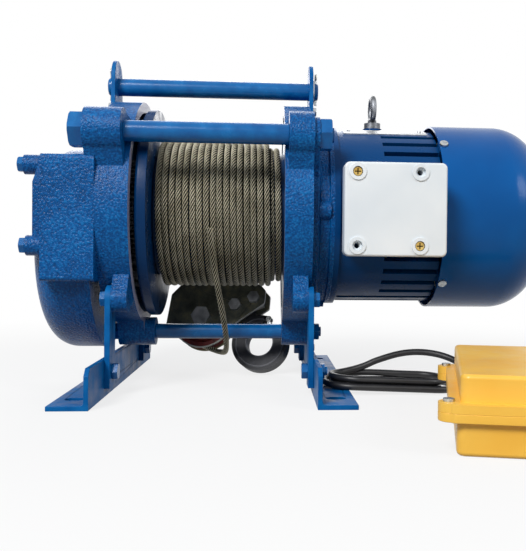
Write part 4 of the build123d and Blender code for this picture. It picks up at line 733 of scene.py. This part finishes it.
class WINCH_OT_rope_lead(bpy.types.Operator):
    """Loose rope from the drum, round the sheave of the hook block, up to its anchor"""
    bl_idname = "winch.rope_lead"
    bl_label = "Rope to the hook block"

    def execute(self, context):
        settings = context.scene.winch
        guide = centreline("rope_route", ROPE_ROUTE)
        points = even_steps(read_line(guide), ROPE_STEP)
        bpy.data.objects.remove(guide)
        rope = stranded("free_rope", points, settings.rope_diameter / 2, settings.rope_lay)
        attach(rope, "winch_frame")
        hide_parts("rope_lead")
        return {"FINISHED"}


CABLE_ROUTE = ((0.24284, -0.12220, 0.0125), (0.24869, -0.09686, 0.0140), (0.2430, -0.0660, 0.0220),
               (0.2220, -0.0460, 0.0320), (0.1900, -0.0400, 0.0340), (0.1580, -0.0410, 0.0250),
               (0.1460, -0.0415, 0.0190))
# Left end, right end, middle and half width of the hank's turns, in the order of the cable.
TOP_TURN = (0.112, 0.222, -0.0655, 0.0240)
OUTER_TURN = (0.1055, 0.2325, -0.0660, 0.0277)
INNER_TURN = (0.1130, 0.2250, -0.0660, 0.0212)
# The inner turn stops after this many of its points, at the cable's bare end.
INNER_POINTS = 10
# How far up the first points of the outer turn still are, as the cable comes down to the floor.
DESCENT = (1.0, 0.55, 0.15)
# An end of a turn is half an octagon of control points: their distances from the end and from the
# middle as shares of half the width. The spline's tightest bend inside it is 0.92 of half.
END_NEAR, END_FAR, END_PART = 0.586, 1.414, 0.414
# Where the two points on each long straight run stand.
RUN_SHARE = 0.38
# The hank's underside: its height where it lies on the foot's leaf, that place, and its slope.
LEAF_TOP = 0.00505
LEAF_X = 0.102
HANK_SLOPE = radians(2.09)


def hank_floor(x):
    """Height of the hank's underside, which slopes from the foot's leaf to the floor."""
    return LEAF_TOP - (x - LEAF_X) * tan(HANK_SLOPE)


def hank_turn(left, right, middle, half, rise):
    """Control points of one flat turn: the far run's left end, round by the front, and back."""
    near, far, part = END_NEAR * half, END_FAR * half, END_PART * half
    inner_left = (1 - RUN_SHARE) * left + RUN_SHARE * right
    inner_right = RUN_SHARE * left + (1 - RUN_SHARE) * right
    front = [(left + far, half), (left + near, half), (left, part), (left, -part),
             (left + near, -half), (left + far, -half), (inner_left, -half), (inner_right, -half)]
    back = [(right - far, -half), (right - near, -half), (right, -part), (right, part),
            (right - near, half), (right - far, half), (inner_right, half), (inner_left, half)]
    return [(x, middle + y, hank_floor(x) + rise) for x, y in front + back]


class WINCH_OT_control_cable(bpy.types.Operator):
    """Control cable: out of its gland, over in a low hump and folded into a flat hank"""
    bl_idname = "winch.control_cable"
    bl_label = "Control cable"

    def execute(self, context):
        settings = context.scene.winch
        thick = settings.cable_diameter
        low = thick / 2 + 0.2 * MM
        high = thick * 1.5 + 0.1 * MM
        outer = hank_turn(*OUTER_TURN, low)[:-1]
        for i, share in enumerate(DESCENT):
            x, y, z = outer[i]
            outer[i] = (x, y, z + share * (high - low))
        points = [*CABLE_ROUTE, *hank_turn(*TOP_TURN, high)[1:-1], *outer,
                  *hank_turn(*INNER_TURN, low)[:INNER_POINTS]]
        cable = centreline("control_cable", points)
        length = line_length(read_line(cable))
        cable.data.bevel_depth = thick / 2
        cable.data.bevel_resolution = 5
        cable.data.use_fill_caps = True
        cable.data.materials.append(finish_called("jacket"))
        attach(cable, "winch_frame")
        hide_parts("power_cable", "cable_hank")
        return {"FINISHED"}


BARREL_RADIUS = 0.06202
WOUND_FROM_X = -0.0546
STEPS_IN_TURN = 200
# Name, turns and pitch of each layer. The upper one nests in the lower, 1.74 rope radii higher.
LAYERS = (("rope_lower_layer", 19, 0.00619), ("rope_upper_layer", 17, 0.00630))
NESTED = 1.74


class WINCH_OT_wound_rope(bpy.types.Operator):
    """Two layers of wire rope wound on the drum"""
    bl_idname = "winch.wound_rope"
    bl_label = "Rope on the drum"

    def execute(self, context):
        settings = context.scene.winch
        radius = settings.rope_diameter / 2
        made = []
        for number, (name, turns, pitch) in enumerate(LAYERS):
            reach = BARREL_RADIUS + radius + number * NESTED * radius
            points = []
            for i in range(turns * STEPS_IN_TURN + 1):
                angle = 2 * pi * i / STEPS_IN_TURN
                # Wound turns wander by up to 0.3 mm along the drum and 0.12 mm away from it.
                wander = 0.00018 * sin(angle * 0.37 + 1.3) + 0.00012 * sin(angle * 1.9)
                rise = reach + 0.00012 * sin(angle * 0.23)
                points.append(Vector((WOUND_FROM_X + pitch * angle / (2 * pi) + wander,
                                      DRUM_AXIS[1] + rise * cos(angle),
                                      DRUM_AXIS[2] + rise * sin(angle))))
            made.append(stranded(name, points, radius, settings.rope_lay))
        for piece in made:
            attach(piece, "drum")
        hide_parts("wound_rope")
        return {"FINISHED"}


# CAD nodes

class WINCH_OT_castings(bpy.types.Operator):
    """Brackets, gear block and case, motor shields, frame and fan cover"""
    bl_idname = "winch.castings"
    bl_label = "Castings"

    def execute(self, context):
        dress(["left_bracket", "right_bracket"], "cast", edge_mm=1.6)
        dress(["gear_block", "gear_case", "motor_shield"], "cast", edge_mm=1.4)
        dress(["motor_frame", "rear_shield"], "frame", edge_mm=0.7)
        dress(["fan_cowl"], "gloss", edge_mm=0.5)
        return {"FINISHED"}


class WINCH_OT_ironwork(bpy.types.Operator):
    """Feet, flat bars, tie tubes and their bolts, suspension bar and its plates"""
    bl_idname = "winch.ironwork"
    bl_label = "Ironwork"

    def execute(self, context):
        dress(["left_foot", "right_foot", "left_foot_bars", "right_foot_bars",
               "left_suspension_plate", "right_suspension_plate", "terminal_base"],
              "iron", edge_mm=0.5)
        dress(["suspension_bar", "front_tie_tube", "rear_tie_tube", "bottom_tie_tube",
               "tie_bolts", "tie_nuts", "case_bolts", "foot_bolts"], "sprayed", edge_mm=0.5)
        return {"FINISHED"}


class WINCH_OT_machinery(bpy.types.Operator):
    """Drum, gears, shafts, bearings and the insides of motor and control box"""
    bl_idname = "winch.machinery"
    bl_label = "Machinery"

    def execute(self, context):
        dress(["drum"], "flange", edge_mm=0.6)
        dress(["bearings", "motor_shaft", "lay_shaft"], "steel", edge_mm=0.25)
        dress(["drum_gear", "lay_wheel"], "gear", edge_mm=0.2)
        dress(["rotor_core", "stator_core"], "lamination", edge_mm=0.3)
        dress(["windings"], "copper", edge_mm=2.0)
        dress(["fan", "terminal_board", "contactor"], "dark", edge_mm=0.5)
        return {"FINISHED"}


class WINCH_OT_hook_block(bpy.types.Operator):
    """Cheeks, sheave, yoke, hook, latch and the rope's anchor"""
    bl_idname = "winch.hook_block"
    bl_label = "Hook block"

    def execute(self, context):
        dress(["front_block_cheek", "rear_block_cheek", "block_yoke"], "plate", edge_mm=0.9)
        dress(["sheave"], "wheel", edge_mm=0.5)
        dress(["hook"], "forging", edge_mm=2.2, sharp_from=50.0)
        dress(["block_bolts"], "bolt", edge_mm=0.4)
        dress(["hook_latch", "latch_pin", "rope_socket"], "zinc", edge_mm=0.3)
        return {"FINISHED"}


class WINCH_OT_boxes(bpy.types.Operator):
    """Lid of the terminal box on the motor, and the control box on the floor"""
    bl_idname = "winch.boxes"
    bl_label = "Boxes"

    def execute(self, context):
        dress(["terminal_lid"], "white", edge_mm=0.4)
        dress(["lid_screws"], "brass", edge_mm=0.25)
        dress(["control_base", "control_cover"], "yellow", edge_mm=0.8)
        dress(["control_screws"], "zinc", edge_mm=0.3)
        dress(["cable_gland"], "dark", edge_mm=0.4)
        return {"FINISHED"}


class WINCH_OT_fasteners(bpy.types.Operator):
    """Small plated fasteners, lifting eye and bare plate"""
    bl_idname = "winch.fasteners"
    bl_label = "Fasteners"

    def execute(self, context):
        dress(["suspension_bolts", "suspension_pins", "cowl_screws"], "zinc", edge_mm=0.3)
        dress(["lifting_eye"], "gear", edge_mm=0.5)
        dress(["rating_plate"], "aluminium", edge_mm=0.2)
        return {"FINISHED"}


STEPS = (WINCH_OT_stage, WINCH_OT_rope_lead, WINCH_OT_control_cable, WINCH_OT_wound_rope,
         WINCH_OT_castings, WINCH_OT_ironwork, WINCH_OT_machinery, WINCH_OT_hook_block,
         WINCH_OT_boxes, WINCH_OT_fasteners)


class WINCH_PT_panel(bpy.types.Panel):
    """Lists the winch's steps and settings"""
    bl_idname = "WINCH_PT_panel"
    bl_label = "Winch"
    bl_space_type = "VIEW_3D"
    bl_region_type = "UI"
    bl_category = "Winch"

    def draw(self, context):
        for step in STEPS:
            self.layout.operator(step.bl_idname)
        for name in ("rope_diameter", "rope_lay", "cable_diameter",
                     "cast_blue", "cast_shade", "cast_light", "cowl_blue"):
            self.layout.prop(context.scene.winch, name)


CLASSES = (WinchSettings, *STEPS, WINCH_PT_panel)


def register():
    for kind in CLASSES:
        bpy.utils.register_class(kind)
    bpy.types.Scene.winch = bpy.props.PointerProperty(type=WinchSettings)


def unregister():
    del bpy.types.Scene.winch
    for kind in reversed(CLASSES):
        bpy.utils.unregister_class(kind)


def main():
    register()
    bpy.ops.winch.stage()
    bpy.ops.winch.rope_lead()
    bpy.ops.winch.control_cable()
    bpy.ops.winch.wound_rope()
    bpy.ops.winch.castings()
    bpy.ops.winch.ironwork()
    bpy.ops.winch.machinery()
    bpy.ops.winch.hook_block()
    bpy.ops.winch.boxes()
    bpy.ops.winch.fasteners()


if __name__ == "__main__":
    main()
